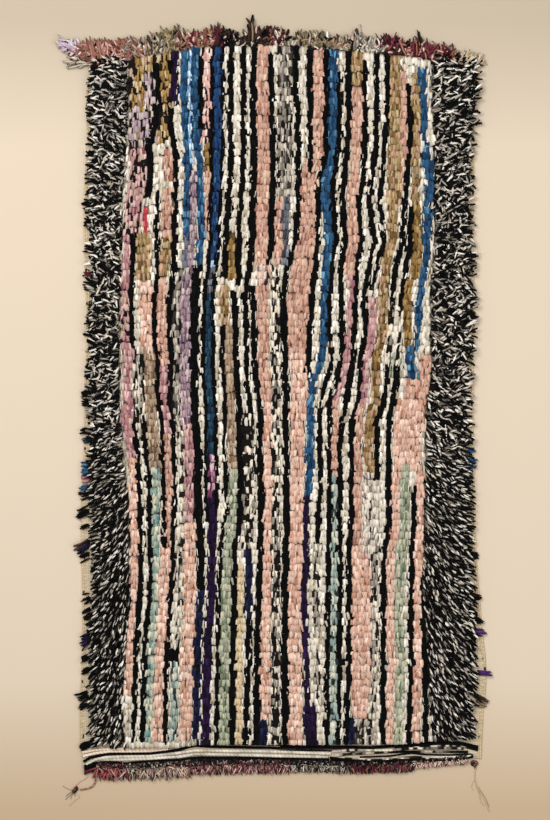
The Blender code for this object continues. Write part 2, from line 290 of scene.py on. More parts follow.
BLACK_STRIPES = charted_rows(
    # left of the blues
    "black 1.2 57:-41.1 77:-41.6 90:-41.4",
    "pepper 1.4 90:-40.6 112:-40",
    "black 1.3 112:-40.9 122:-40 134:-39.2 152:-38.7 164:-39 173:-39.6 185:-40.4 209:-40.8",
    "pepper 1.3 92:-38.6 113:-38.2",
    "black 1.2 113:-38.1 122:-37.4 134:-36.3 164:-36 173:-36.8 185:-38 209:-38.2",
    "black 1.6 5:-34.6 12:-33.6 18:-33.2",
    "black 1.8 18:-33.8 25:-34.8 30:-36 40:-36 45:-36.6",
    "black 1.1 44:-33.4 59:-34.2 68:-33.9 77:-34.7 86:-34.8 95:-33.9 107:-33.5 113:-32.6 134:-32.1"
    " 143:-31.8 150:-31.7",
    "black 1.3 4:-29.8 9:-29.8",
    "black 1.4 19:-29.8 26:-29.6 32:-28.5 47:-28.2 59:-28.7 68:-29",
    "black 1.2 68:-29 77:-30 86:-30.3 95:-29.7 107:-30 122:-29 134:-28.7 152:-29.1 164:-29.6 173:-30.3"
    " 185:-31.2 209:-31.5",
    "black 1.3 3:-20.9 25:-20.9",
    "black 2.3 66:-21.4 72:-22 77:-22.6 95:-22.8 107:-22.8 122:-21.8 134:-21.6 152:-20.7 164:-20.7",
    "navy 2.1 164:-20.7 173:-21.3 185:-21.8 209:-22.3",
    "black 0.9 0:-17.4 32:-17.6 47:-17.7 59:-18.1 68:-18.6 74:-19.5 86:-20.1 95:-20.1 107:-19.5"
    " 134:-19.1 143:-19",
    "black 0.9 0:-14.3 32:-14.3 47:-14.8 59:-15.4 68:-16.2 77:-17.3 95:-17 107:-16.5 122:-16.2 140:-15.9",
    # between the blues and the middle
    "black 1.5 0:-11.7 32:-11.8 47:-12.2 55:-12.9 59:-13.4 70:-13.6",
    "black 1 83:-14.5 95:-14.4 107:-13.7 122:-13.8 134:-13.3 140:-12.9 146:-14.2 152:-14.9 173:-15.5"
    " 185:-15.8 209:-16.2",
    "black 1.5 0:-8.1 32:-8.1 47:-8.6 59:-9.4 72:-9.6",
    "black 2.1 74:-10.6 82:-10.6",
    "black 1.4 82:-10.5 95:-10.2 107:-9.5 134:-9 143:-9.3 152:-10.6 173:-10.8 185:-11.4 209:-11.4",
    "black 1.7 0:-5 47:-5.1 59:-5.7 68:-6.2",
    "black 1.4 68:-6.4 77:-7.5 95:-7.2 107:-6.3 111:-6",
    "black 1.5 172:-6.4 185:-6.6 209:-7.2",
    "black 1.3 72:-5.2 95:-4.8 107:-3.5 113:-2.9 122:-3.3",
    "black 1.6 122:-3.3 134:-2.7 152:-3 164:-3.3 173:-3.8 209:-4.2",
    "black 1.4 2:0.3 20:0.3 26:0.9 47:0.9 59:0.1 66:-0.6",
    # right of the middle
    "black 1.4 0:7.7 17:7.8 20:8.4 47:8.4 59:7.5 66:5.7 71:4.5",
    "black 1.7 71:4.5 77:4.1 86:4.1 95:4.6 107:4.8 152:4.8 164:4.4 209:4.3",
    "black 1.5 0:11.6 20:12 37:12",
    "black 1.3 0:16.8 30:16.8 36:16.2 41:14.7 59:14.1 68:13.5",
    "black 1.6 68:13.5 77:12.6 86:12 95:11.6 98:11.4",
    "black 1.2 8:20.8 32:20.7 37:19.9 41:19 53:19.4 59:19.6 68:18.6",
    "black 1.3 68:18.6 77:17.9 86:17.7 95:18.4 101:17.1 107:15.3 113:14.9 134:14.9 143:14.4 150:14.2",
    "black 1.5 0:23.4 26:23.4 41:22.2 47:21.8 59:22.2 68:21.3 86:21.5 95:21.2 101:20",
    "black 1.2 101:20 107:17.9 122:17.6 134:17.9 152:17.4 209:17",
    "black 1.4 4:28.2 26:28.6 41:27.9 47:26.7 59:27.3 68:26.1 77:25.7 86:25.2 95:24.8 101:24",
    "black 1.4 101:24 107:23.1 113:21.8 122:20.9 152:21 209:20.6",
    "black 1.4 0:31.8 17:32 32:31.6 47:30 59:31.1 68:29.6 77:28.4 86:28.5 95:27.2 107:26.6",
    "black 1.3 107:26.4 113:24.7 122:24.3 143:24.3 152:23.6 185:23.6 209:22.8",
    "black 1.3 0:35 17:35.1 32:34.2 47:32.9 59:33.9 68:31.8 73:30.8",
    "black 1.4 12:41.7 26:42 32:41.7 41:41 47:40.5 59:39.8 68:37.7 77:36.6",
    "pepper 1.4 77:36.6 86:36.2 95:35.3",
    "black 1.3 95:35.3 101:35 107:34.2 113:32.4 130:32",
    "black 1.3 47:42.5 59:42 68:40.8 77:39.2",
    "pepper 1.4 77:39.3 86:39.4 95:37.9",
    "black 1.5 95:37.9 101:37.9 107:36.9 113:35.7 134:35.4 143:35.7 152:34.3 164:33.9 209:33.8",
    "black 1.3 132:43.2 143:43.2 152:42.3 185:42.2 209:41.6",
    "black 1.4 150:46.4 164:45.9 173:45.9 185:46.5 209:46.7",
)
CHART = BROAD_STRIPES + BLACK_STRIPES
CHART_YARNS = ["cream", *(stripe.yarn for stripe in CHART)]

# Where the striped field ends and the speckled borders start, as down:across.
Sides = namedtuple("Sides", "left right")
FIELD_SIDES = Sides(
    pairs("0:-42 20:-42 47:-43.8 77:-44.6 107:-44.6 125:-43.4 137:-42 165:-41.6 182:-43.2 197:-44"
          " 209:-43"),
    pairs("0:47.6 30:48.9 62:48.9 70:47.8 99:48 107:46.5 137:45.9 164:45.6 182:47.1 206:48.3"),
)
# Where the pile ends towards the selvedges, as down:across, and where its last row's tips lie, as
# across:down.
PILE_SIDES = Sides(
    pairs("0:-52.8 25:-53.2 130:-53.2 140:-52.2 165:-52.2 175:-53 209:-53"),
    pairs("0:61.8 17:61.4 32:59.9 47:59.3 80:60.6 92:59.6 107:59 137:59.4 152:59.6 175:61 190:61"
          " 200:60.2 209:60"),
)
PILE_FOOT = pairs("-57:211 -45:210.9 -28:210.8 -22:210 20:210 40:209.8 48:209 62:208.8")
# Which way the strips of the borders lie, in degrees, next to the field and at the selvedge.
Flow = namedtuple("Flow", "down left_in left_out right_in right_out spread")
BORDER_FLOW = (
    Flow(0, 155, 160, 25, 25, 20),
    Flow(20, 160, 165, 20, 12, 32),
    Flow(45, 175, 178, 5, 2, 44),
    Flow(90, 188, 182, -8, -2, 42),
    Flow(120, 215, 192, -38, -12, 26),
    Flow(140, 238, 205, -56, -24, 15),
    Flow(165, 254, 220, -68, -34, 12),
    Flow(209, 258, 226, -72, -38, 11),
)


def along(path, at):
    """A charted line's place across, at a place down the rug."""
    return np.interp(at, [row[0] for row in path], [row[1] for row in path])


def charted(across, down):
    """Number in CHART_YARNS of the yarn at each of these places in the field, in centimetres."""
    found = np.zeros(len(across), int)
    for number, stripe in enumerate(CHART, 1):
        inside = (down >= stripe.path[0][0]) & (down < stripe.path[-1][0])
        wide = stripe.wide + BLACK_GAIN * (stripe.yarn == "black")
        found[inside & (abs(across - along(stripe.path, down)) < wide / 2)] = number
    return found


# ---------------------------------------------------------------------------------------------------
# Meshes and pieces.


def smooth_mesh(name, bm):
    """A smooth closed mesh of this, its faces turned outwards."""
    bmesh.ops.recalc_face_normals(bm, faces=bm.faces[:])
    mesh = bpy.data.meshes.new(name)
    bm.to_mesh(mesh)
    bm.free()
    mesh.shade_smooth()
    return mesh


def placed(name, data):
    """An object of this data, in the scene."""
    made = bpy.data.objects.new(name, data)
    bpy.context.scene.collection.objects.link(made)
    return made


def numbers_of(items, field, count, kind):
    """One field of a mesh's items, as rows of numbers."""
    values = np.empty(len(items) * count, kind)
    items.foreach_get(field, values)
    return values.reshape(-1, count)


# ---------------------------------------------------------------------------------------------------
# The cloth's outline, read from its solid.

FLAT = 1e-4  # an edge lower than this lies on the floor
LEAST = 1e-6  # an edge that moves less than this along the axis is square to it


def reach(name, axis, stations):
    """How far a node's underside reaches, low and high, square to this axis at stations along it."""
    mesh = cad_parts[name].data
    points = numbers_of(mesh.vertices, "co", 3, np.float32)
    a, b = points[numbers_of(mesh.edges, "vertices", 2, np.int32)].transpose(1, 0, 2)
    flat = (a[:, 2] < FLAT) & (b[:, 2] < FLAT) & (abs(a[:, axis] - b[:, axis]) > LEAST)
    a, b = a[flat], b[flat]
    spans = []
    for at in stations:
        share = (at - a[:, axis]) / (b[:, axis] - a[:, axis])
        hit = (share >= 0) & (share <= 1)
        across = (a[:, 1 - axis] + (b[:, 1 - axis] - a[:, 1 - axis]) * share)[hit]
        spans.append((across.min(), across.max()))
    return np.array(spans).T


STATIONS = 90
# The stations keep clear of the cloth's rounded corners.
ALONG = np.linspace(CLOTH_LOW[1] + 0.035, HEADING - 0.062, STATIONS)
LEFT, RIGHT = reach("rug_cloth", 1, ALONG)
ACROSS = np.linspace(CLOTH_LOW[0] + 0.016, CLOTH_HIGH[0] - 0.026, STATIONS)
FOOT, HEAD = reach("rug_cloth", 0, ACROSS)


def sides(y):
    return np.interp(y, ALONG, LEFT), np.interp(y, ALONG, RIGHT)


def ends(x):
    return np.interp(x, ACROSS, FOOT), np.interp(x, ACROSS, HEAD)


def cloth_place(u, v):
    """The place at these shares of the cloth's width and length, from its left foot corner."""
    middle = CLOTH_LOW[0] + (CLOTH_HIGH[0] - CLOTH_LOW[0]) * u
    foot, head = ends(middle)
    left, right = sides(foot + (head - foot) * v)
    x = left + (right - left) * u
    foot, head = ends(x)
    return x, foot + (head - foot) * v


# ---------------------------------------------------------------------------------------------------
# Node trees, written as sums.


class Wire:
    """A socket whose sums add Math nodes to its tree."""

    def __init__(self, tree, socket):
        self.tree = tree
        self.socket = socket

    def maths(self, operation, *terms):
        return self.tree.node("ShaderNodeMath", {"operation": operation}, dict(enumerate(terms)))

    def clipped(self):
        return self.maths("MINIMUM", self.maths("MAXIMUM", self, 0.0), 1.0)

    def wave(self):
        """Sine of this, from 0 to 1."""
        return self.maths("SINE", self) * 0.5 + 0.5

    def scaled(self, *factors):
        """This vector times these factors."""
        return self.tree.node("ShaderNodeVectorMath", {"operation": "MULTIPLY"}, {0: self, 1: factors})

    def part(self, axis):
        return self.tree.node("ShaderNodeSeparateXYZ", {}, {0: self}, out=axis)


def sum_with(operation, first, second):
    """A method of Wire for this sum: its own wire is the first or the second term."""
    return lambda *terms: terms[0].maths(operation, terms[first], terms[second])


SUMS = {"add": "ADD", "sub": "SUBTRACT", "mul": "MULTIPLY", "truediv": "DIVIDE"}
for sum_name, sum_kind in SUMS.items():
    setattr(Wire, f"__{sum_name}__", sum_with(sum_kind, 0, 1))
    setattr(Wire, f"__r{sum_name}__", sum_with(sum_kind, 1, 0))


class Tree:
    """A node tree under construction."""

    def __init__(self, tree):
        self.tree = tree

    def node(self, kind, settings=None, inputs=None, out=0):
        """Adds a node: its settings first, then its sockets' values or wires. Returns one output."""
        made = self.tree.nodes.new(kind)
        for name, value in (settings or {}).items():
            setattr(made, name, value)
        for name, value in (inputs or {}).items():
            if isinstance(value, Wire):
                self.tree.links.new(value.socket, made.inputs[name])
            else:
                made.inputs[name].default_value = value
        return Wire(self, made.outputs[out]) if made.outputs else made

    def blend(self, share, first, second, how="MIX"):
        """A colour between two, or one worked on by the other."""
        settings = {"data_type": "RGBA", "blend_type": how}
        return self.node("ShaderNodeMix", settings, {0: share, 6: first, 7: second}, out=2)

    def grey(self, value):
        return self.node("ShaderNodeCombineXYZ", {}, {0: value, 1: value, 2: value})

    def speckle(self, where, scale, detail=2.0, rough=0.5):
        inputs = {"Vector": where, "Scale": scale, "Detail": detail, "Roughness": rough}
        return self.node("ShaderNodeTexNoise", {}, inputs)

    def attribute(self, name, out="Fac"):
        return self.node("ShaderNodeAttribute", {"attribute_name": name}, out=out)


# ---------------------------------------------------------------------------------------------------
# Finishes.

SHEEN = 0.03
WEFT_PITCH, WARP_PITCH = 0.0050, 0.0072  # from one thread of the ground to the next
FINISHES = {}


def new_finish(name, colour, roughness, relief, depth):
    """A matte cloth finish. colour, roughness and relief are wires of its tree; depth is in metres."""
    tree = colour.tree
    bump = tree.node("ShaderNodeBump", {}, {"Height": relief, "Distance": depth, "Strength": 0.8})
    inputs = {"Base Color": colour, "Roughness": roughness, "Normal": bump}
    shader = tree.node("ShaderNodeBsdfPrincipled", {}, inputs)
    sheen = shader.socket.node.inputs
    sheen["Sheen Weight"].default_value = SHEEN
    sheen["Sheen Roughness"].default_value = 0.6
    sheen["Specular IOR Level"].default_value = 0.03
    tree.node("ShaderNodeOutputMaterial", {}, {"Surface": shader})
    return FINISHES[name]


def start_finish(name):
    FINISHES[name] = bpy.data.materials.new(name)
    FINISHES[name].use_nodes = True
    FINISHES[name].node_tree.nodes.clear()
    return Tree(FINISHES[name].node_tree)


def rag_finish():
    """Torn rag: fine fibres along the strip, mottled, and darkened towards its knot by painted shade."""
    tree = start_finish("rag_strip")
    where = tree.node("ShaderNodeTexCoord", out="Object")
    on_strip = tree.attribute("on_strip", "Vector")
    lengthwise = on_strip.part(0)
    streaks = tree.speckle(on_strip.scaled(60.0, 1.0, 1.0), 14.0, 2.0)
    mottle = tree.speckle(where, 420.0, 3.0, 0.6)
    patches = tree.speckle(where, 9.0, 2.0)
    light = 0.70 + 0.20 * streaks + 0.26 * mottle + 0.16 * patches
    # Painted shade: the strip's colour darkens over the part nearest its knot, where the strips around it
    # would shade it.
    root = (lengthwise * 2.2).clipped() * 0.30 + 0.70
    colour = tree.blend(1.0, tree.attribute("yarn", "Color"), tree.grey(light * root), "MULTIPLY")
    roughness = 0.82 + 0.14 * mottle
    return new_finish("rag_strip", colour, roughness, streaks * 0.5 + mottle, 0.0012)


def ground_finish():
    """The woven ground: wefts across the rug beaten over its warps, with the knots' backs between."""
    tree = start_finish("woven_ground")
    where = tree.node("ShaderNodeTexCoord", out="Object")
    wander = tree.speckle(where, 26.0, 2.0) * 1.2
    wefts = (where.part(1) * (math.tau / WEFT_PITCH) + wander * 3.0).wave()
    warps = (where.part(0) * (math.tau / WARP_PITCH) + wander * 3.0).wave()
    knots = (where.part(1) * (math.tau / ROW_PITCH) + wander).wave()
    fuzz = tree.speckle(where, 520.0, 3.0, 0.65)
    wool = tree.blend(fuzz, (0.50, 0.40, 0.27, 1.0), (0.74, 0.66, 0.52, 1.0))
    seen = ((knots - 0.42) * 6.0).clipped() * 0.88 * ((warps - 0.12) * 6.0).clipped()
    colour = tree.blend(seen, wool, tree.attribute("yarn", "Color"))
    # Partly painted shade: the wefts and warps are lighter on their crowns and darker between the
    # threads; the fuzz is the wool's own mottle.
    light = 0.55 + 0.30 * wefts + 0.15 * warps + 0.2 * fuzz
    colour = tree.blend(1.0, colour, tree.grey(light), "MULTIPLY")
    relief = wefts * 0.6 + warps * 0.4 + fuzz * 0.3
    return new_finish("woven_ground", colour, 0.86 + 0.1 * fuzz, relief, 0.0015)


def yarn_finish():
    """Loosely spun yarn: its turns run round the strand, with painted shade in the grooves between them.
    """
    tree = start_finish("spun_yarn")
    where = tree.node("ShaderNodeTexCoord", out="Object")
    on_strand = tree.attribute("on_strip", "Vector")
    turns = ((on_strand.part(0) + on_strand.part(1)) * 2 * math.pi).wave()
    fuzz = tree.speckle(where, 600.0, 3.0, 0.65)
    # Painted shade: the colour darkens in the grooves between the yarn's turns; the fuzz is its own
    # mottle.
    light = 0.66 + 0.24 * turns + 0.24 * fuzz
    colour = tree.blend(1.0, tree.attribute("yarn", "Color"), tree.grey(light), "MULTIPLY")
    return new_finish("spun_yarn", colour, 0.84 + 0.1 * fuzz, turns + fuzz * 0.5, 0.0010)


# ---------------------------------------------------------------------------------------------------
# Strips of rag. Each shape is modelled once, lying towards +X from its knot, one unit of each size.

Bend = namedtuple("Bend", "forward up wide")
PILE_BENDS = (Bend(0.00, 0.10, 0.9), Bend(0.42, 0.95, 1.05), Bend(1.00, 0.90, 0.95))
BORDER_BENDS = (Bend(0.00, 0.10, 0.8), Bend(0.16, 0.62, 0.95), Bend(0.40, 0.90, 1.0),
                Bend(0.72, 0.98, 1.0), Bend(1.00, 0.84, 0.85))
TUFT_BENDS = (Bend(0.00, 0.30, 0.8), Bend(0.25, 0.90, 1.0), Bend(0.50, 1.00, 1.1),
              Bend(0.78, 0.80, 1.1), Bend(1.00, 0.45, 0.8))
# Cross-sections of a strip, as across and outwards: a flattened square, a ridge and a roof.
SECTION = ((0.5, 0.0), (0.0, 0.5), (-0.5, 0.0), (0.0, -0.5))
RIDGE_SECTION = ((0.5, -0.2), (0.0, 0.5), (-0.5, -0.2))
ROOF_SECTION = ((0.5, -0.15), (0.22, 0.42), (-0.22, 0.42), (-0.5, -0.15))
SHAPES_EACH = 8
CELL_ROOM = 0.06  # of each strip's cell in the sheet of colours, kept clear round it
CORNERS = ((0, 0), (0, 1), (1, 1), (1, 0))


def strip_shape(name, bends, section, sway, roll, thick, rng):
    """One strip, with the rest place of each point kept as on_strip and its own cell to paint."""
    bm = bmesh.new()
    spot = bm.verts.layers.float_vector.new("on_strip")
    sheet = bm.loops.layers.uv.new("OFBake")
    drift, turn = rng.uniform(-sway, sway), rng.uniform(-roll, roll)
    curl = rng.uniform(-sway, sway)
    rings = []
    for i, bend in enumerate(bends):
        share = i / (len(bends) - 1)
        ahead = bends[min(i + 1, len(bends) - 1)]
        behind = bends[max(i - 1, 0)]
        slope = math.atan2(0.8 * (ahead.up - behind.up), ahead.forward - behind.forward)
        middle = Vector((bend.forward, drift * share + curl * math.sin(math.pi * share), bend.up))
        ring = []
        for across, out in section:
            cos, sin = math.cos(turn * share), math.sin(turn * share)
            side = across * bend.wide * cos - out * thick * sin
            lift = across * bend.wide * sin * 0.4 + out * thick * cos
            point = middle + Vector((-lift * math.sin(slope) * 0.35, side, lift * math.cos(slope)))
            vert = bm.verts.new(point)
            vert[spot] = (share, across, out)
            ring.append(vert)
        rings.append(ring)
    count = len(section)
    for i, (ring, following) in enumerate(zip(rings, rings[1:])):
        for k in range(count):
            beside = (k + 1) % count
            face = bm.faces.new((ring[k], ring[beside], following[beside], following[k]))
            for loop, (du, dv) in zip(face.loops, CORNERS):
                loop[sheet].uv = (0.84 * (i + du) / (len(rings) - 1), (k + dv) / count)
    for low, ring in ((0.0, rings[0][::-1]), (0.5, rings[-1])):
        face = bm.faces.new(ring)
        for loop, (du, dv) in zip(face.loops, CORNERS):
            loop[sheet].uv = (0.88 + 0.12 * du, low + 0.4 * dv)
    return bpy.data.objects.new(name, smooth_mesh(name, bm))


def strip_shapes(name, bends, section, sway, roll, thick):
    """A collection of strips of one kind, each bent its own way."""
    rng = random.Random(name)
    shapes = bpy.data.collections.new(name)
    for i in range(SHAPES_EACH):
        shapes.objects.link(strip_shape(f"{name}_{i}", bends, section, sway, roll, thick, rng))
    return shapes


def strip_tree():
    """Sets a strip on each point, in its point's heading, size and yarn, and gives it a cell to paint."""
    group = bpy.data.node_groups.new("knotted_strips", "GeometryNodeTree")
    group.interface.new_socket("Geometry", in_out="OUTPUT", socket_type="NodeSocketGeometry")
    named = (("Geometry", "Geometry"), ("Shapes", "Collection"), ("Finish", "Material"),
             ("Pitch spread", "Float"), ("Roll spread", "Float"), ("Seed", "Int"))
    for name, kind in named:
        group.interface.new_socket(name, in_out="INPUT", socket_type="NodeSocket" + kind)
    tree = Tree(group)
    entry = group.nodes.new("NodeGroupInput")
    given = {name: Wire(tree, entry.outputs[name]) for name, _ in named}

    def chance(spread, offset):
        inputs = {2: spread * -1.0, 3: spread, "Seed": given["Seed"] + offset}
        return tree.node("FunctionNodeRandomValue", {"data_type": "FLOAT"}, inputs, out=1)

    def stored(name, kind, out=0):
        return tree.node("GeometryNodeInputNamedAttribute", {"data_type": kind}, {"Name": name}, out=out)

    index = tree.node("GeometryNodeInputIndex")
    counted = {"data_type": "INT", "domain": "POINT"}
    points = tree.node("GeometryNodeStoreNamedAttribute", counted,
                       {"Geometry": given["Geometry"], "Name": "cell", "Value": index})
    picks = {4: 0, 5: SHAPES_EACH - 1, "Seed": given["Seed"]}
    pick = tree.node("FunctionNodeRandomValue", {"data_type": "INT"}, picks, out=2)
    turn = tree.node("ShaderNodeCombineXYZ", {}, {0: chance(given["Roll spread"], 1),
                                                  1: chance(given["Pitch spread"], 2),
                                                  2: stored("heading", "FLOAT")})
    shapes = tree.node("GeometryNodeCollectionInfo", {}, {
        "Collection": given["Shapes"], "Separate Children": True, "Reset Children": True})
    strips = tree.node("GeometryNodeInstanceOnPoints", {}, {
        "Points": points, "Instance": shapes, "Pick Instance": True, "Instance Index": pick,
        "Rotation": turn, "Scale": stored("size", "FLOAT_VECTOR")})
    strips = tree.node("GeometryNodeRealizeInstances", {}, {"Geometry": strips})

    points_in = tree.node("GeometryNodeAttributeDomainSize", {"component": "MESH"},
                          {"Geometry": given["Geometry"]})
    per_side = points_in.maths("CEIL", points_in.maths("SQRT", points_in))
    cell = stored("cell", "INT")
    column = cell.maths("FLOORED_MODULO", cell, per_side)
    row = cell.maths("FLOOR", cell / per_side)
    corner = stored("OFBake", "FLOAT_VECTOR")
    spot = [(corner.part(axis) * (1 - 2 * CELL_ROOM) + CELL_ROOM + place) / per_side
            for axis, place in ((0, column), (1, row))]
    sheet = tree.node("ShaderNodeCombineXYZ", {}, {0: spot[0], 1: spot[1], 2: 0.0})
    strips = tree.node("GeometryNodeStoreNamedAttribute", {"data_type": "FLOAT2", "domain": "CORNER"},
                       {"Geometry": strips, "Name": "OFBake", "Value": sheet})
    strips = tree.node("GeometryNodeSetMaterial", {}, {"Geometry": strips, "Material": given["Finish"]})
    group.nodes.new("NodeGroupOutput")
    group.links.new(strips.socket, group.nodes["Group Output"].inputs[0])
    return group


Strip = namedtuple("Strip", "place heading size colour")
LOWEST = 0.0004  # no strip dips below this


def set_strips(name, strips, shapes, tree, pitch=0.10, roll=0.25, seed=1):
    """A piece made of these strips, as one plain mesh."""
    mesh = bpy.data.meshes.new(name)
    mesh.from_pydata([strip.place for strip in strips], [], [])
    for label, kind, field, values in (
            ("heading", "FLOAT", "value", [strip.heading for strip in strips]),
            ("size", "FLOAT_VECTOR", "vector", [strip.size for strip in strips]),
            ("yarn", "FLOAT_COLOR", "color", [strip.colour for strip in strips])):
        layer = mesh.attributes.new(label, kind, "POINT")
        layer.data.foreach_set(field, np.array(values, np.float32).ravel())
    knots = placed(name, mesh)
    grower = knots.modifiers.new("knotted_strips", "NODES")
    grower.node_group = tree
    sockets = {item.name: item.identifier for item in tree.interface.items_tree if item.in_out == "INPUT"}
    for label, value in (("Shapes", shapes), ("Finish", FINISHES["rag_strip"]), ("Pitch spread", pitch),
                         ("Roll spread", roll), ("Seed", seed)):
        grower[sockets[label]] = value
    ready = knots.evaluated_get(bpy.context.evaluated_depsgraph_get())
    finished = bpy.data.meshes.new_from_object(ready)
    bpy.data.objects.remove(knots)
    bpy.data.meshes.remove(mesh)
    finished.name = name
    points = numbers_of(finished.vertices, "co", 3, np.float32)
    points[:, 2] = np.maximum(points[:, 2], LOWEST)
    finished.vertices.foreach_set("co", points.ravel())
    for label in ("heading", "size", "cell"):
        if label in finished.attributes:
            finished.attributes.remove(finished.attributes[label])
    return placed(name, finished)


# ---------------------------------------------------------------------------------------------------
# The pile.


def rows_of_knots():
    """Each row's share of the way from the heading to the pile's last row."""
    count = round((PILE_FOOT[0][1] * CM - ROW_PITCH) / ROW_PITCH)
    return [row / (count - 1) for row in range(count)]


def pile_foot(x):
    return HEADING - along(PILE_FOOT, x / CM) * CM


def row_line(share, x):
    """Where a row of knots runs at these places across."""
    head = ends(x)[1] - 0.003
    return head + (pile_foot(x) + ROW_PITCH - head) * share


WANDER = 0.0050  # how far a row strays from its line
WANDER_TURNS = 9.0  # how often it strays, for each metre across
ROWS_APART = 61.0  # far enough apart in the noise for rows to stray each its own way


def row_wander(x, share):
    """How far a row strays from its line at this place, much the same for the knots beside it."""
    return WANDER * noise.noise(Vector((x * WANDER_TURNS, share * ROWS_APART, 0.0)))


SLIP = 0.45 * ROW_PITCH  # how far a stripe's knots are out of line with the next stripe's


def stripe_slip(number, down):
    """How far along itself a charted stripe's knots slip, at this place down the rug."""
    return SLIP * noise.noise(Vector((number * 3.7, down * 0.012, 5.0)))


def runs(numbers):
    """Start and end of each run of equal numbers."""
    cuts = np.flatnonzero(np.diff(numbers)) + 1
    return list(zip([0, *cuts], [*cuts, len(numbers)]))


def stripe_lean(number, down):
    """How far a charted stripe shifts across for each unit down, at this place down the rug."""
    path = CHART[number - 1].path
    return float(along(path, down + 2) - along(path, down - 1)) / 3 if number else 0.0


EDGE_STRAY = 0.10  # how far a row's stripes shift across, in centimetres
KNOT_STRAY = 0.0022  # how far a knot shifts along its stripe
UNEVEN = 0.25  # of a knot's width, that its sides shift


def field_strips(rng):
    """The striped field, row by row: each run of one yarn is shared out among whole knots."""
    step = 0.001
    strips = []
    for row in rows_of_knots():
        x = np.arange(CLOTH_LOW[0], CLOTH_HIGH[0], step)
        y = row_line(row, x)
        down = (HEADING - y) / CM
        inside = (x / CM > along(FIELD_SIDES.left, down)) & (x / CM < along(FIELD_SIDES.right, down))
        x, y, down = x[inside], y[inside], down[inside]
        yarns = charted(x / CM + EDGE_STRAY * rng.gauss(0, 1), down + ROW_PITCH / 2 / CM)
        for start, end in runs(yarns):
            wide = (end - start) * step
            if wide < SMALLEST_RUN:
                continue
            yarn = yarns[start]
            beside = [yarn] if yarn else [n for n in (yarns[start - 1], yarns[end % len(yarns)]) if n]
            lean = sum(stripe_lean(n, down[start]) for n in beside) / max(1, len(beside))
            knots = max(1, round(wide / KNOT_WIDE))
            slip = stripe_slip(yarn, down[start])
            cuts = [0.0, *(knot + rng.uniform(-UNEVEN, UNEVEN) for knot in range(1, knots)), knots]
            for low, high in zip(cuts, cuts[1:]):
                middle = start + (end - start) * (low + high) / 2 / knots
                across = x[0] + step * middle
                line = float(np.interp(middle, range(len(y)), y))
                place = (across, line + row_wander(across, row) + slip + rng.gauss(0, KNOT_STRAY))
                strips += knot_strips(place, wide * (high - low) / knots, lean, CHART_YARNS[yarn], rng)
    return strips


# The two layers of a knot: how long their strips are, how far out of the knot's width they start, and
# how high they start.
Layer = namedtuple("Layer", "long out high")
LAYERS = (Layer((0.027, 0.035), 0.80, 0.0016), Layer((0.022, 0.033), 0.55, 0.0024))
FAN = 0.30  # how far a knot's strips fan out, in radians
OVERLAP = (1.40, 1.75)  # how much wider a strip is than its share of the knot
FIELD_TALL = (0.0180, 0.0009)  # how high a strip stands, and how much that varies


def knot_strips(place, wide, lean, yarn, rng):
    """One knot of the field: strips side by side, a few more on top, a little fanned out."""
    x, y = place
    tone = shade(yarn, rng)
    speckled = "pepper" in yarn or "fleck" in yarn or yarn == "ash"
    below = max(2, round(wide / STRIP_WIDE))
    tilt = rng.gauss(0, 0.05)
    longest = y - float(pile_foot(x)) + 0.002
    made = []
    for layer, count in zip(LAYERS, (below, (below + 1) // 2)):
        for i in range(count):
            off = (i + 0.5) / count - 0.5
            colour = shade(yarn, rng)
            if not speckled:
                colour = blend_colours(colour, tone if i % 2 else colour)
            heading = -math.pi / 2 + math.atan(lean) + off * FAN + tilt + rng.gauss(0, 0.06)
            long = min(longest, rng.uniform(*layer.long))
            size = (long, wide / below * rng.uniform(*OVERLAP), min(TALLEST, rng.gauss(*FIELD_TALL)))
            spot = (x + off * wide * layer.out, y + rng.gauss(0, 0.0008), layer.high)
            made.append(Strip(spot, heading, size, colour))
    return made


# The borders' two parts: from where to where down the rug, how far apart the strips of a knot lie, how
# long and wide they are, how much longer the dark ones are, and how much their headings vary.
Brush = namedtuple("Brush", "start end apart long wide dark_gain stray")
BORDER_PARTS = {
    "top": Brush(0, 118, 0.0034, (0.017, 0.032), (0.0060, 0.0082), 1.0, 0.35),
    "bottom": Brush(118, 211, 0.0032, (0.016, 0.023), (0.0052, 0.0072), 1.35, 0.09),
}
BORDER_TALL = (0.0178, 0.0016)  # how high a strip stands, and how much that varies
BORDER_UNEVEN = 0.15  # of a knot's width, that it shifts along its row
SHORTEST = 0.010  # how far a strip is cut at most, to keep it on the cloth


def border_strips(side, part, rng):
    """A speckled border: dark and light strips turn about, lying the way the border is brushed."""
    strips = []
    for row in rows_of_knots():
        x = np.arange(CLOTH_LOW[0], CLOTH_HIGH[0], 0.002)
        y = row_line(row, x)
        down = (HEADING - y) / CM
        inner, outer = along(getattr(FIELD_SIDES, side), down), along(getattr(PILE_SIDES, side), down)
        inside = (x / CM > np.minimum(inner, outer)) & (x / CM < np.maximum(inner, outer))
        inside &= (down >= part.start) & (down < part.end)
        if not inside.any():
            continue
        x, y, down = x[inside], y[inside], down[inside]
        knots = max(1, round((x[-1] - x[0]) / BORDER_KNOT))
        for knot in range(knots):
            at = (len(x) - 1) * (knot + 0.5 + rng.uniform(-BORDER_UNEVEN, BORDER_UNEVEN)) / knots
            place = [float(np.interp(at, range(len(x)), values)) for values in (x, y)]
            out = at / (len(x) - 1) if side == "right" else 1 - at / (len(x) - 1)
            strips += border_knot(side, part, place, out, float(np.interp(at, range(len(x)), down)), rng)
    return strips


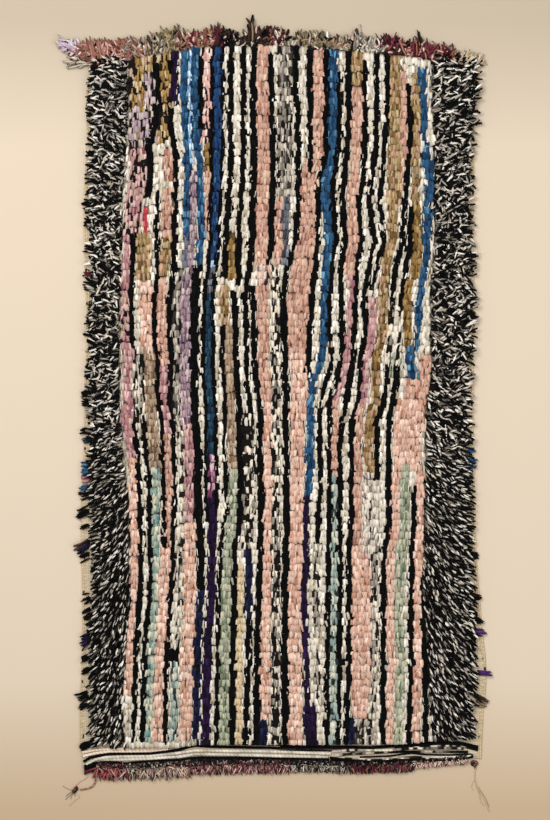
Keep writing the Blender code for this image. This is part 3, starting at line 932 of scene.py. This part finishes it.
def border_knot(side, part, place, out, down, rng):
    """Four strips, at least half of them dark, side by side along their own heading."""
    flow = {label: float(along([(row.down, getattr(row, label)) for row in BORDER_FLOW], down))
            for label in Flow._fields}
    lie = flow[side + "_in"] * (1 - out) + flow[side + "_out"] * out
    heading = math.radians(lie + rng.gauss(0, flow["spread"]))
    made = []
    last = "cream_grey" if rng.random() < 0.5 else "black"
    for i, yarn in enumerate(("black", "cream_grey", "black", last)):
        off = (i - 1.5) * part.apart
        spot = (place[0] - math.sin(heading) * off + rng.gauss(0, 0.001),
                place[1] + math.cos(heading) * off * 1.6 + rng.gauss(0, 0.0025), 0.0016)
        long = rng.uniform(*part.long) * (part.dark_gain if yarn == "black" else 1.0)
        for room, rise in ((place[1] - float(pile_foot(place[0])), -math.sin(heading)),
                           (float(ends(place[0])[1]) - place[1], math.sin(heading))):
            long = min(long, max(SHORTEST, room + 0.002) / max(0.2, rise))
        size = (long, rng.uniform(*part.wide), min(TALLEST, rng.gauss(*BORDER_TALL)))
        lean = heading + rng.gauss(0, part.stray)
        made.append(Strip(spot, lean, size, shade(yarn, rng)))
    return made


# Tufts that stick out past the selvedges: how far down, how long in centimetres, which way, and the yarn.
STRAYS = {
    "left": (
        "8 2.2 150 black, 12 2.6 155 black, 17 2.2 160 black, 19 2.4 165 black, 22 2.2 165 black, "
        "48 2.6 180 black, 49.5 2 185 black, 54 2 180 black, 61 2.2 185 black, 69 2.8 180 burgundy, "
        "73 2.6 178 dark_brown, 83 2.6 180 black, 86 2.6 185 black, 97 2.4 180 black, "
        "99.5 2.2 175 black, 105 2.8 180 black, 108 3.2 182 black, 116 3.2 184 black, "
        "119 2.6 185 petrol, 127 2.6 178 blue, 128 2.4 190 blue, 130.5 2.4 185 rose, "
        "133 2.6 188 blue, 135 3 195 black, 140 3.8 195 black, 144 2.4 200 black, "
        "149 4.4 200 dark_brown, 150.5 4 208 navy, 153 3 200 black, 166 2.6 205 black, "
        "170 2.6 210 black, 172 2.2 205 black, 177 2.8 200 aubergine, 179 2.8 210 aubergine, "
        "184 2.8 205 black, 188 2.4 210 black, 195 3.4 200 black, 198 3.2 205 black, "
        "210 2.6 200 black"),
    "right": (
        "7 2.4 40 black, 10 2.4 30 black, 14 2.6 25 black, 18 2.4 20 black, 40 2.2 5 black, "
        "65 2.2 0 black, 78 2.4 0 black, 81 2.4 -5 black, 83 2.2 0 black, 122.5 2.6 20 blue, "
        "125 2.8 5 blue, 127 2.4 -10 blue, 153 2.8 -20 black, 165.5 2.8 -15 black, 172 3 -25 black, "
        "176 3 -15 purple, 188.5 3.8 -5 purple, 195.5 3 -20 dark_brown, 197.5 3.2 -10 khaki"),
}

STRAY_STRIPS = 7  # in each stray tuft
STRAY_ROOT = 0.022  # how far in from the selvedge it starts


def stray_strips(side, rng):
    strips = []
    sign = -1 if side == "left" else 1
    for row in STRAYS[side].split(", "):
        down, long, lie = (float(number) for number in row.split()[:3])
        y = HEADING - down * CM
        edge = float(sides(y)[0 if side == "left" else 1])
        for _ in range(STRAY_STRIPS):
            root = edge - sign * (STRAY_ROOT + rng.uniform(-0.004, 0.004))
            place = (root, y + rng.gauss(0, 0.0045), 0.002)
            heading = math.radians(lie + rng.gauss(0, 9))
            size = (long * CM * rng.uniform(0.8, 1.1), rng.uniform(0.005, 0.007),
                    rng.uniform(0.009, 0.013))
            strips.append(Strip(place, heading, size, shade(row.split()[3], rng)))
    return strips


# The clumps of frayed rag along the heading: from where to where across, how far outside the cloth's edge
# they start and how long they are, all in centimetres, which way they point and how far that spreads, in
# degrees, and their yarns.
Clump = namedtuple("Clump", "start end root long heading spread yarns")


def clumps(*rows):
    words = [row.split() for row in rows]
    return [Clump(*(float(number) for number in row[:6]), row[6:]) for row in words]


HEAD_CLUMPS = clumps(
    "-53.6 -51 0 8.2 176 8 grey_beige grey_beige dark_brown",
    "-54 -51 0.4 8.4 152 12 brown_pink dusty_rust dusty_rust",
    "-54 -50.5 -0.2 8.8 128 14 brown_pink dusty_rust dusty_rust rose",
    "-59 -56 3.8 6.4 164 14 pale_lilac",
    "-59 -57 5 5.8 172 12 pale_lilac",
    "-53 -40.5 -0.4 7.4 108 22 dusty_rust dusty_rust dusty_rust brown_pink rose",
    "-41.5 -36 -0.4 7.2 122 16 dusty_rust brown_pink grey_beige",
    "-36 -32 -0.4 6.6 95 20 khaki dark_brown grey_beige",
    "-32 -27.5 -0.4 8 92 18 khaki khaki khaki brown_pink",
    "-27.5 -21 -0.4 6 96 22 brown_pink khaki dusty_rust burgundy",
    "-21 -17 -0.4 6 88 18 brown_pink dusty_rust",
    "-17 -14.4 -0.4 6.6 95 12 burgundy dark_brown",
    "-15 -10.4 -0.4 5.2 72 16 black black dark_brown",
    "-10.4 -6.8 -0.4 2.4 92 20 ash dark_brown",
    "-6.6 -2.4 -0.4 6.2 94 16 dark_brown dark_brown khaki",
    "-5.6 -4.6 -0.4 8.8 93 3 dark_brown",
    "-2.8 -0.6 -0.4 6 92 12 black dark_brown",
    "-0.6 4.5 -0.4 5.8 88 18 burgundy burgundy cream dusty_rust",
    "4.5 8.1 -0.4 2.4 90 24 grey_beige khaki",
    "8.1 22.5 -0.4 5 92 26 khaki khaki khaki grey_beige dark_brown",
    "18 22.5 -0.4 4 80 22 brown_pink khaki",
    "22.5 34.5 -0.4 4.8 92 18 ash grey_beige cream",
    "25.4 27.2 -0.4 7.2 92 6 ash grey_beige",
    "34.5 39.6 -0.4 6.6 96 20 burgundy burgundy dark_brown",
    "39.6 54 -0.4 5.8 82 26 burgundy burgundy burgundy dusty_rust",
    "45.4 46.4 -0.4 8 98 4 dark_brown",
    "54 57 -0.4 4 72 18 brown_pink dusty_rust",
    "56 62.4 -0.4 4 52 14 cream thread_beige pale_tan",
)
CLUMP_PITCH = 0.0034
CLUMP_LAYERS = 5
CORNER_ROOM = 0.040  # tufts nearer the cloth's left side than this start level with one that isn't
CURL_LONG = (0.016, 0.028)  # how long the short curls of a clump are
FLECKS = ("dark_brown", "black", "pale_pink", "cream")
FLECKED = 0.16  # of the curls are of another yarn


def head_tufts(rng):
    """The heading's rag tufts: a thicket of short curls, with a few long ones that stick out of it."""
    strips = []
    for clump in HEAD_CLUMPS:
        count = max(3, round((clump.end - clump.start) * CM / CLUMP_PITCH))
        heading = math.radians(clump.heading)
        for layer in range(CLUMP_LAYERS + 1):
            for i in range(count if layer < CLUMP_LAYERS else (count + 1) // 2):
                x = (clump.start + (clump.end - clump.start) * (i + rng.random()) / count) * CM
                head = float(ends(max(x, CLOTH_LOW[0] + CORNER_ROOM))[1]) + clump.root * CM
                flecked = layer < CLUMP_LAYERS and rng.random() < FLECKED
                yarn = rng.choice(FLECKS if flecked else clump.yarns)
                if layer < CLUMP_LAYERS:
                    room = max(0.0, clump.long * CM - CURL_LONG[1])
                    start = room * (layer + rng.uniform(-0.5, 0.5)) / (CLUMP_LAYERS - 1)
                    length = rng.uniform(*CURL_LONG)
                    lie = heading + math.radians(rng.gauss(0, 1.7 * clump.spread + 12))
                else:
                    start, length = 0.0, clump.long * CM * rng.uniform(0.80, 1.10)
                    lie = heading + math.radians(rng.gauss(0, clump.spread))
                size = (length, rng.uniform(0.0050, 0.0084), rng.uniform(0.006, 0.012))
                place = (x + math.cos(heading) * start,
                         head + math.sin(heading) * start - rng.uniform(0, 0.004),
                         rng.uniform(0.001, 0.009))
                strips.append(Strip(place, lie, size, shade(yarn, rng)))
    return strips


# The frayed fringe below the flat-woven end.
FOOT_CLUMPS = clumps(
    "-52 -43 0 4.2 -86 34 burgundy rust rose burgundy dusty_rust",
    "-43 -24 0 4 -92 38 grey_beige mottled_brown rose peach brown_pink",
    "-24 6 0 3.2 -90 36 burgundy pale_pink rose brown_pink burgundy",
    "6 23.4 0 2.6 -90 36 grey_beige ash cream mottled_brown",
    "23.4 42.6 0 2.6 -90 30 burgundy burgundy dusty_rust dark_brown",
    "42.6 59 0 1.7 -88 30 pale_pink brown_pink pale_pink peach",
)
FRAY_PITCH = 0.0019
FRAY_LAYERS = 6
ROOTS = 2  # of the layers start further in, over the dark wefts
ROOT_YARNS = ("mottled_dark", "mottled_brown", "black")
ROOT_LONG = 0.015
DARK_ROOTS, DARK_TIPS = 0.85, 0.22  # the share of the strips in those yarns


def foot_fringe(rng):
    """Fine frayed yarns in a soft mat below the flat-woven end, dark where they leave it."""
    strips = []
    for clump in FOOT_CLUMPS:
        count = round((clump.end - clump.start) * CM / FRAY_PITCH)
        for layer in range(FRAY_LAYERS):
            root = layer < ROOTS
            for i in range(count):
                x = (clump.start + (clump.end - clump.start) * (i + rng.random()) / count) * CM
                foot = float(ends(x)[0]) - clump.root * CM
                length = min(ROOT_LONG, clump.long * CM * 0.5) if root else clump.long * CM
                heading = math.radians(clump.heading + rng.gauss(0, clump.spread))
                size = (length * rng.uniform(0.35, 0.95), rng.uniform(0.0022, 0.0042),
                        rng.uniform(0.003, 0.006))
                low, high = (0.006, 0.006 + 0.35 * clump.long * CM) if root else (-0.003, 0.002)
                inward = rng.uniform(low, high)
                place = (x, foot + inward, 0.0050 + 0.001 * layer if root else 0.0006 + 0.0014 * layer)
                dark = rng.random() < (DARK_ROOTS if root else DARK_TIPS)
                yarn = rng.choice(ROOT_YARNS if dark else clump.yarns)
                strips.append(Strip(place, heading, size, shade(yarn, rng)))
    return strips


# ---------------------------------------------------------------------------------------------------
# The woven ground and what is woven into it.

# The strands of the flat-woven end: how thick, their lines as across:down, and their yarns, each from a
# place across. All are in centimetres.
Weft = namedtuple("Weft", "thick line yarns")
LEFT_END = -60  # where a strand's first yarn starts, unless it says so
UPPER_LINE = pairs("-56:215.4 -54:214.2 -51:213.6 -48:213.1 -45:213 -36:213 -31.5:212.4 -27:211.8"
                   " -24.6:211 -22.5:210.6 -15:211 0:211.2 3:211.4")
LOWER_LINE = pairs("-55.8:216.9 -54.6:216.4 -52.5:215.8 -48:215.5 -43.5:216 -36:215.2 -27:214.9"
                   " -24:214.4 -21:214.2 -9:214.3 9:214.6 18:214.5")
RIGHT_LINE = pairs("3:211 22.5:211 30:211.2 37.5:210.7 42:210.2 51:209.6 57:209.7 60:210.4 63:211.2")
RIGHT_LOWER = pairs("18:214.2 22.5:214.8 28.5:215.4 34.5:215.2 39:214.8 48:214.9 54:215 57.6:214.6"
                    " 61.5:213.8")


def shifted(line, by):
    return tuple((across, down + by) for across, down in line)


def weft_row(thick, line, yarns):
    """A strand whose line may be written out, and whose yarns are written as place:yarn."""
    changes = [word.rpartition(":") for word in yarns.split()]
    return Weft(thick, pairs(line) if isinstance(line, str) else line,
                [(float(start or LEFT_END), name) for start, _, name in changes])


END_WEFTS = (
    weft_row(0.55, "-57:211.4 -53:210.9", "black"),
    weft_row(0.85, "-56.4:212.6 -52.5:211.9 -45:211.5 -36:211.5 -30:210.9 -25.5:210.3", "peach"),
    weft_row(0.85, "-56.1:213.8 -52.5:212.9 -48:212.3 -42:212.3 -36:212.2 -30.6:211.6", "peach"),
    weft_row(0.85, UPPER_LINE, "black"),
    weft_row(0.34, "-24:210.2 3:210.5 22:210.2", "dark_brown"),
    weft_row(0.90, "-55.2:216.2 -52.5:214.8 -49.5:214.1 -45:213.9 -36:213.8 -31.5:213.3 -27:212.7"
             " -22.5:212 -9:212.2 3:212.5 15:212.9 18.6:213", "cream"),
    weft_row(0.90, "-51:214.8 -45:214.8 -36:214.5 -31.5:214.2 -27:213.9 -22.5:213.1 -9:213.4 3:213.7"
             " 15:213.9 18:214", "cream"),
    weft_row(0.95, RIGHT_LINE, "black"),
    weft_row(0.60, shifted(RIGHT_LINE[3:], 0.5), "black"),
    weft_row(0.60, shifted(RIGHT_LINE[4:], 1.0), "pepper"),
    weft_row(0.60, shifted(RIGHT_LOWER[2:], -0.5), "pepper"),
    weft_row(0.45, shifted(RIGHT_LINE[:3], 0.6), "dark_brown"),
    weft_row(0.45, "3:212.1 15:212.1 22.5:212.2 26:212.7", "black"),
    weft_row(0.80, "18.6:212.4 24:211.9 30:212 36:212 42:211.4 52.5:211.3 58.5:211.5",
             "18:pale_ash 23:pepper_light 32:cream 35:pepper 46:ash"),
    weft_row(0.80, "19.5:213.6 24:213.1 33:212.7 39:212.4 48:212.4 54:212.4 60:212.5",
             "18:ash 29:pepper_light 36:black 44:ash 52:black"),
    weft_row(0.55, "27:214 36:213.7 39:213.3 42.6:212.9 46.5:213.3 54:213.4 61:213.2", "18:black"),
    weft_row(0.55, "22.5:214.4 28.5:214.6 34.5:214.5 43.5:213.9 48:214.1 57.6:213.9",
             "18:pepper_light 38:black 46:pale_ash"),
    weft_row(0.80, LOWER_LINE, "black"),
    weft_row(0.80, RIGHT_LOWER, "black"),
    *(weft_row(0.62, shifted(LOWER_LINE, 0.55 * step), yarns) for step, yarns in enumerate((
        "black -52:burgundy -43:mottled_brown -24:mottled_dark",
        "black -52:burgundy -43:mottled_brown -24:mottled_dark",
        "burgundy -43:mottled_brown -24:burgundy -15:mottled_dark",
        "burgundy -43:mottled_brown -24:burgundy -15:mottled_dark"), 1)),
    *(weft_row(0.62, shifted(RIGHT_LOWER[:-3], 0.55 * step), yarns) for step, yarns in enumerate((
        "black 46:pale_pink",
        "mottled_dark 23.4:burgundy 43:pale_pink",
        "mottled_dark 23.4:burgundy 43:pale_pink"), 1)),
)
WEFT_STEP = 0.0050
WEFT_SWAY = 0.0008  # how far a strand strays from its line
WEFT_OVER = 0.0005  # how far it rises and falls over the warps
WARPS_UNDER = 0.0145  # how far it runs for each rise and fall
WEFT_CHUNK = 0.008  # a mixed strand keeps one shade for about this long
PLAIN_WEFTS = ("cream", "peach", "black")  # their shades change less from place to place
WEFT_SIDES = 6
CORD_SIDES = 12
BORDER_BACKS = 0.35  # how light the borders' knot backs are, against the cream yarn


def ground_yarn(x, y):
    """Mean colour of the yarn whose knot backs show at each of these places on the underside."""
    down = (HEADING - y) / CM
    numbers = charted(x / CM, down)
    table = np.array([MEANS[name] for name in CHART_YARNS])
    colours = table[numbers]
    colours[beyond(FIELD_SIDES, x / CM, down)] = table[0] * BORDER_BACKS
    colours[(y < pile_foot(x)) | beyond(PILE_SIDES, x / CM, down)] = np.array(MEANS["pale_tan"])
    return colours


def beyond(lines, across, down):
    """Whether places lie outside two charted sides."""
    return (across < along(lines.left, down)) | (across > along(lines.right, down))


def tube(bm, layers, route, thick, wide, colours, turns=0.0, lobes=0.0):
    """A strand along these points: round, or with two lobes that twist so many turns for each metre."""
    spot, yarn = layers
    count = CORD_SIDES if lobes else WEFT_SIDES
    rings = []
    walked = 0.0
    for i, at in enumerate(route):
        ahead = route[min(i + 1, len(route) - 1)] - route[max(i - 1, 0)]
        ahead.normalize()
        side = ahead.cross(Vector((0, 0, 1))).normalized()
        up = side.cross(ahead)
        walked += (at - route[max(i - 1, 0)]).length
        ring = []
        for k in range(count):
            angle = 2 * math.pi * k / count
            swell = 1 - lobes * (1 - abs(math.cos(angle - 2 * math.pi * turns * walked)))
            vert = bm.verts.new(at + side * math.cos(angle) * wide / 2 * swell
                                + up * math.sin(angle) * thick / 2 * swell)
            vert[spot] = (walked * 90.0, angle / (2 * math.pi), 0.0)
            vert[yarn] = colours[i]
            ring.append(vert)
        rings.append(ring)
    for low, high in zip(rings, rings[1:]):
        for k in range(count):
            bm.faces.new((low[k], low[(k + 1) % count], high[(k + 1) % count], high[k]))
    bm.faces.new(rings[0][::-1])
    bm.faces.new(rings[-1])


def strand_piece(name, build):
    """A piece of spun strands, filled in by build(bm, layers)."""
    bm = bmesh.new()
    layers = (bm.verts.layers.float_vector.new("on_strip"), bm.verts.layers.float_color.new("yarn"))
    build(bm, layers)
    mesh = smooth_mesh(name, bm)
    mesh.materials.append(FINISHES["spun_yarn"])
    return placed(name, mesh)


def end_wefts():
    """The thick wefts of the flat-woven end, each its own strand."""
    def build(bm, layers):
        rng = random.Random("wefts")
        for number, weft in enumerate(END_WEFTS):
            route, colours = [], []
            tone, held = None, 0.0
            first, last = weft.line[0][0] * CM, weft.line[-1][0] * CM
            for x in np.arange(first, last, WEFT_STEP):
                y = HEADING - float(along(weft.line, x / CM)) * CM
                sway = WEFT_SWAY * noise.noise(Vector((x * 11, number * 7.3, 0)))
                over = WEFT_OVER * math.sin(x * math.tau / WARPS_UNDER + math.pi * number)
                yarn = [name for start, name in weft.yarns if start * CM <= x][-1]
                if tone is None or held <= 0:
                    fresh = shade(yarn, rng)
                    tone = blend_colours(fresh, tone) if tone and yarn in PLAIN_WEFTS else fresh
                    held = WEFT_CHUNK * rng.uniform(0.5, 1.5)
                held -= WEFT_STEP
                route.append(Vector((x, y + sway, GROUND_THICK + weft.thick * CM * 0.36 + over)))
                colours.append(tone)
            tube(bm, layers, route, weft.thick * CM * 0.8, weft.thick * CM, colours)
    return strand_piece("end_wefts", build)


SELVEDGE_STEP = 0.0044
RIPPLE = 0.0010  # how far a selvedge cord strays from its line
WRAP_SWELL, WRAP_PITCH = 0.0004, 0.0110  # how much each turn of its wrapping shifts it, and how often
WRAP_DARK = 0.42  # above this its wrapping is dark
SELVEDGE_CORDS = ((0.0028, 0.0062), (0.0088, 0.0058))  # how far in from the side, and how thick


def selvedges():
    """Each side's two bundled warps, wrapped by the turning wefts."""
    def build(bm, layers):
        rng = random.Random("selvedge")
        for side in (0, 1):
            sign = (1, -1)[side]
            for number, (inset, thick) in enumerate(SELVEDGE_CORDS):
                route, colours = [], []
                for y in np.arange(CLOTH_LOW[1] + 0.030, HEADING - 0.060, SELVEDGE_STEP):
                    edge = float(sides(y)[side])
                    ripple = RIPPLE * noise.noise(Vector((y * 22, side * 5.0, number * 3.0)))
                    swell = WRAP_SWELL * math.sin(y * math.tau / WRAP_PITCH + number * math.pi)
                    route.append(Vector((edge + sign * inset + ripple + swell, y, thick / 2)))
                    dark = noise.noise(Vector((y * 30, side * 9.0, number * 4.0 + 2))) > WRAP_DARK
                    colours.append(shade("dark_brown" if dark else "pale_tan", rng))
                tube(bm, layers, route, thick, thick * 1.1, colours)
    return strand_piece("selvedge_cords", build)


def ground_cloth():
    """The woven ground as one thin closed sheet, with the knot backs' colours kept for its finish."""
    columns, rows = GROUND_CELLS
    bm = bmesh.new()
    bmesh.ops.create_grid(bm, x_segments=columns, y_segments=rows, size=0.5)
    for v in bm.verts:
        x, y = cloth_place(v.co.x + 0.5, v.co.y + 0.5)
        v.co = (x, y, GROUND_THICK + 0.0004 * noise.noise(Vector((x * 40, y * 40, 0))))
    lower = bmesh.ops.extrude_face_region(bm, geom=bm.faces[:], use_keep_orig=True)["geom"]
    for v in [g for g in lower if isinstance(g, bmesh.types.BMVert)]:
        v.co.z = 0.0
    mesh = smooth_mesh("ground_cloth", bm)
    x, y, _ = numbers_of(mesh.vertices, "co", 3, np.float64).T
    layer = mesh.attributes.new("yarn", "FLOAT_COLOR", "POINT")
    colours = np.concatenate([ground_yarn(x, y), np.ones((len(x), 1))], axis=1)
    layer.data.foreach_set("color", colours.astype(np.float32).ravel())
    mesh.materials.append(FINISHES["woven_ground"])
    return placed("ground_cloth", mesh)


# ---------------------------------------------------------------------------------------------------
# The corner cords, on the routes that their solids have.

Cord = namedtuple("Cord", "name diameter far_end yarns route")
CORDS = (
    Cord("corner_cord_left", 0.0050, "knot", ("dusty_rust", "brown_pink"),
         "-0.541:-1.1143 -0.533:-1.124 -0.526:-1.138 -0.525:-1.153"
         " -0.532:-1.166 -0.546:-1.173 -0.562:-1.176 -0.571:-1.177"),
    Cord("corner_cord_right", 0.0030, "bare", ("thread_beige", "pale_tan"),
         "0.618:-1.1115 0.616:-1.128 0.617:-1.147 0.624:-1.168"
         " 0.634:-1.188 0.645:-1.208 0.653:-1.226 0.660:-1.243"),
)
CORD_STEP = 0.0012
STRAND_STEP = 0.003
CORD_TURNS = 90.0  # of its two plies, for each metre
CORD_WAIST = 0.32  # how far the cord is drawn in between its plies

# The knots at the corners: name, middle, turn, half sizes, yarns, how many wisps, which way and how far
# these reach, and the loose strands beside each: how thick, their yarn and their route.
CORNER_KNOTS = (
    ("corner_knot_left_yarn", (-0.585, -1.177), 62, (0.0125, 0.0045), ("brown_pink", "dark_brown"),
     5, (228, 0.046),
     ((0.0016, "dusty_rust", "-0.545:-1.137 -0.556:-1.146 -0.570:-1.153 -0.582:-1.164"),
      (0.0012, "grey_beige", "-0.580:-1.190 -0.572:-1.199 -0.588:-1.212 -0.603:-1.226"))),
    ("corner_knot_right_yarn", (0.614, -1.0975), 12, (0.0115, 0.0080), ("dark_brown", "brown_pink"),
     9, (275, 0.020),
     ((0.0014, "khaki", "0.626:-1.168 0.634:-1.182 0.644:-1.196 0.652:-1.212 0.658:-1.230"),
      (0.0014, "pale_tan", "0.617:-1.150 0.622:-1.172 0.630:-1.192 0.633:-1.210 0.643:-1.226"),
      (0.0012, "thread_beige", "0.616:-1.146 0.609:-1.158 0.606:-1.170 0.612:-1.180"))),
)


def smooth_route(places, height, spacing):
    """Points along a Catmull-Rom curve through these places, at one height, about so far apart."""
    points = [Vector((x, y, height)) for x, y in pairs(places)]
    ends_of = [2 * points[0] - points[1], *points, 2 * points[-1] - points[-2]]
    made = []
    for a, b, c, d in zip(ends_of, ends_of[1:], ends_of[2:], ends_of[3:]):
        steps = max(1, round((c - b).length / spacing))
        for i in range(steps):
            t = i / steps
            made.append(0.5 * (2 * b + (c - a) * t + (2 * a - 5 * b + 4 * c - d) * t**2
                               + (3 * b - a - 3 * c + d) * t**3))
    return [*made, points[-1].copy()]


def corner_cord(cord):
    """A loose two-ply cord, and the route that it follows."""
    route = smooth_route(cord.route, cord.diameter / 2, CORD_STEP)

    def build(bm, layers):
        rng = random.Random(cord.name)
        colours = [shade(cord.yarns[i // 3 % 2], rng) for i in range(len(route))]
        tube(bm, layers, route, cord.diameter, cord.diameter, colours, CORD_TURNS, CORD_WAIST)
    return strand_piece(cord.name + "_yarn", build), route


LOOPS, LOOP_POINTS = 8, 13
LOOP_HIGH = 0.0032  # how high a knot's loops lie
WISP_POINTS = 9


def loop_route(middle, tilt, size, number):
    """One loop of a knot: an ellipse that rises and falls, not quite closed."""
    route = []
    for i in range(LOOP_POINTS):
        angle = 2 * math.pi * i / LOOP_POINTS * 0.96
        along_it, over_it = math.cos(angle) * size.x, math.sin(angle) * size.y
        route.append(Vector((middle[0] + along_it * math.cos(tilt) - over_it * math.sin(tilt),
                             middle[1] + along_it * math.sin(tilt) + over_it * math.cos(tilt),
                             LOOP_HIGH + size.z * (0.4 + 0.6 * math.sin(angle + number)))))
    return route


def wisp_route(middle, heading, length, bend):
    """A wisp that curves away from the knot, down to the floor."""
    route = []
    for i in range(WISP_POINTS):
        t = i / (WISP_POINTS - 1)
        curl = heading + bend * t
        route.append(Vector((middle[0] + math.cos(curl) * length * t,
                             middle[1] + math.sin(curl) * length * t, 0.0040 * (1 - t) + 0.0007)))
    return route


def corner_knot(name, middle, turn, half, yarns, wisps, reach_out, strands):
    """A small hard knot of wound yarn, the wisps that fray out of it, and the loose strands beside it."""
    def build(bm, layers):
        rng = random.Random(name)

        def wind(route, thick, wide, yarn):
            tube(bm, layers, route, thick, wide, [shade(yarn, rng)] * len(route))

        for number in range(LOOPS):
            tilt = math.radians(turn) + rng.gauss(0, 0.35)
            size = Vector((*half, 0.0030)) * rng.uniform(0.35, 0.95)
            wind(loop_route(middle, tilt, size, number), 0.0036, 0.0042, yarns[number % len(yarns)])
        for _ in range(wisps):
            heading = math.radians(rng.gauss(reach_out[0], 16))
            length = reach_out[1] * rng.uniform(0.4, 1.0)
            route = wisp_route(middle, heading, length, rng.uniform(-0.5, 0.5))
            wind(route, 0.0009, 0.0012, rng.choice(yarns))
        for thick, yarn, places in strands:
            wind(smooth_route(places, thick, STRAND_STEP), thick, thick, yarn)
    return strand_piece(name, build)


# ---------------------------------------------------------------------------------------------------
# Floor, light and camera.

FLOOR_SIZE = 8.0
FLOOR_DROP = 0.0006  # how far the floor lies below the rug, so that the two don't flicker
# The paper's colours: its own below the rug's middle, and darker with painted shade towards the rug's
# ends.
PAPER = {"middle": "cdbda8", "foot": "b8a184", "head": "b5a792"}
PAPER_SHADE_FADE = 2.6  # how quickly the paper changes, for each metre
AIR = ((1.0, 0.97, 0.93, 1.0), 0.50)  # the light from all round: its colour and strength
# Each lamp's name, place, size and power in watts.
LAMPS = (("key_light", (-1.6, 1.8, 4.2), 2.4, 178.0), ("fill_light", (2.6, -0.6, 3.6), 3.0, 72.0))
CAMERA_PLACE = (0.015, -0.036, 8.215)
LENS, SENSOR = 120.0, 36.0  # in millimetres


def studio():
    """A pale paper floor, a little darker towards the rug's ends with painted shade, with two soft lamps
    and a camera.
    """
    scene = bpy.context.scene
    scene.view_settings.view_transform = "Standard"
    scene.view_settings.look = "None"
    mesh = bpy.data.meshes.new("floor")
    bm = bmesh.new()
    bmesh.ops.create_grid(bm, x_segments=1, y_segments=1, size=FLOOR_SIZE)
    bm.to_mesh(mesh)
    bm.free()
    floor = placed("floor", mesh)
    floor.location.z = -FLOOR_DROP
    paper = start_finish("floor_paper")
    up = paper.node("ShaderNodeTexCoord", out="Object").part(1)
    # Painted shade: the paper darkens towards the rug's foot and head.
    shade_towards_foot = ((up * -1.0 - 0.85) * PAPER_SHADE_FADE).clipped()
    shade_towards_head = ((up - 0.75) * PAPER_SHADE_FADE).clipped()
    middle, foot, head = ((*linear(PAPER[place]), 1.0) for place in ("middle", "foot", "head"))
    colour = paper.blend(shade_towards_head, paper.blend(shade_towards_foot, middle, foot), head)
    shader = paper.node("ShaderNodeBsdfPrincipled", {}, {"Base Color": colour, "Roughness": 0.9})
    paper.node("ShaderNodeOutputMaterial", {}, {"Surface": shader})
    mesh.materials.append(FINISHES["floor_paper"])

    world = bpy.data.worlds.new("studio_air")
    world.use_nodes = True
    air = world.node_tree.nodes["Background"].inputs
    air["Color"].default_value, air["Strength"].default_value = AIR
    scene.world = world
    for name, place, size, power in LAMPS:
        lamp = bpy.data.lights.new(name, "AREA")
        lamp.size = size
        lamp.energy = power
        light = placed(name, lamp)
        light.location = place
        light.rotation_euler = (Vector((0, 0, 0)) - Vector(place)).to_track_quat("-Z", "Y").to_euler()

    lens = bpy.data.cameras.new("camera")
    lens.lens = LENS
    lens.sensor_width = SENSOR
    camera = placed("camera", lens)
    camera.location = CAMERA_PLACE
    scene.camera = camera


# ---------------------------------------------------------------------------------------------------
# Putting it together.


def main():
    studio()
    rag_finish()
    ground_finish()
    yarn_finish()
    tree = strip_tree()
    pile_shapes = strip_shapes("pile_rag", PILE_BENDS, ROOF_SECTION, 0.10, 0.3, 0.42)
    border_shapes = {"top": strip_shapes("curly_rag", BORDER_BENDS, RIDGE_SECTION, 0.34, 0.9, 0.6),
                     "bottom": strip_shapes("brushed_rag", BORDER_BENDS, RIDGE_SECTION, 0.10, 0.6, 0.6)}
    tuft_shapes = strip_shapes("tuft_rag", TUFT_BENDS, SECTION, 0.30, 1.2, 0.5)
    fray_shapes = strip_shapes("frayed_yarn", TUFT_BENDS, RIDGE_SECTION, 0.30, 1.2, 0.6)

    cords = [(cord, *corner_cord(cord)) for cord in CORDS]
    knots = [corner_knot(*knot) for knot in CORNER_KNOTS]

    ground = ground_cloth()
    pile = []
    strips = sorted(field_strips(random.Random("field")), key=lambda strip: -strip.place[1])
    cut = math.ceil(len(strips) / FIELD_PIECES)
    for i in range(FIELD_PIECES):
        pile.append(set_strips(f"field_pile_{i + 1}", strips[i * cut:(i + 1) * cut], pile_shapes, tree,
                               pitch=0.04, roll=0.2, seed=i + 1))
    for side in ("left", "right"):
        rng = random.Random(side)
        for name, part in BORDER_PARTS.items():
            pile.append(set_strips(f"border_{side}_{name}", border_strips(side, part, rng),
                                   border_shapes[name], tree, pitch=0.06, roll=0.5, seed=20))
        pile.append(set_strips(f"stray_tufts_{side}", stray_strips(side, rng), tuft_shapes, tree,
                               seed=25))
    trim = [end_wefts(), selvedges()]
    tufts = set_strips("heading_tufts", head_tufts(random.Random("head")), tuft_shapes, tree, roll=0.9,
                       seed=31)
    fringe = set_strips("foot_fringe", foot_fringe(random.Random("foot")), fray_shapes, tree, roll=0.9,
                        seed=32)

    for piece in (ground, *pile, *trim):
        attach(piece, "root")
    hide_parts("rug_cloth")
    for piece, slot, node in ((tufts, "rag_tufts", "head_fringe"), (fringe, "frayed_ends", "end_fringe")):
        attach(piece, "root")
        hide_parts(node)
    for knot, node in zip(knots, ("corner_knot_left", "corner_knot_right")):
        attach(knot, "root")
        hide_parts(node)
    for (cord, piece, route), slot, on_it in zip(cords, ("brown_cord", "pale_cord"), (knots[:1], [])):
        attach(piece, "root")
        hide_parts(cord.name)


main()
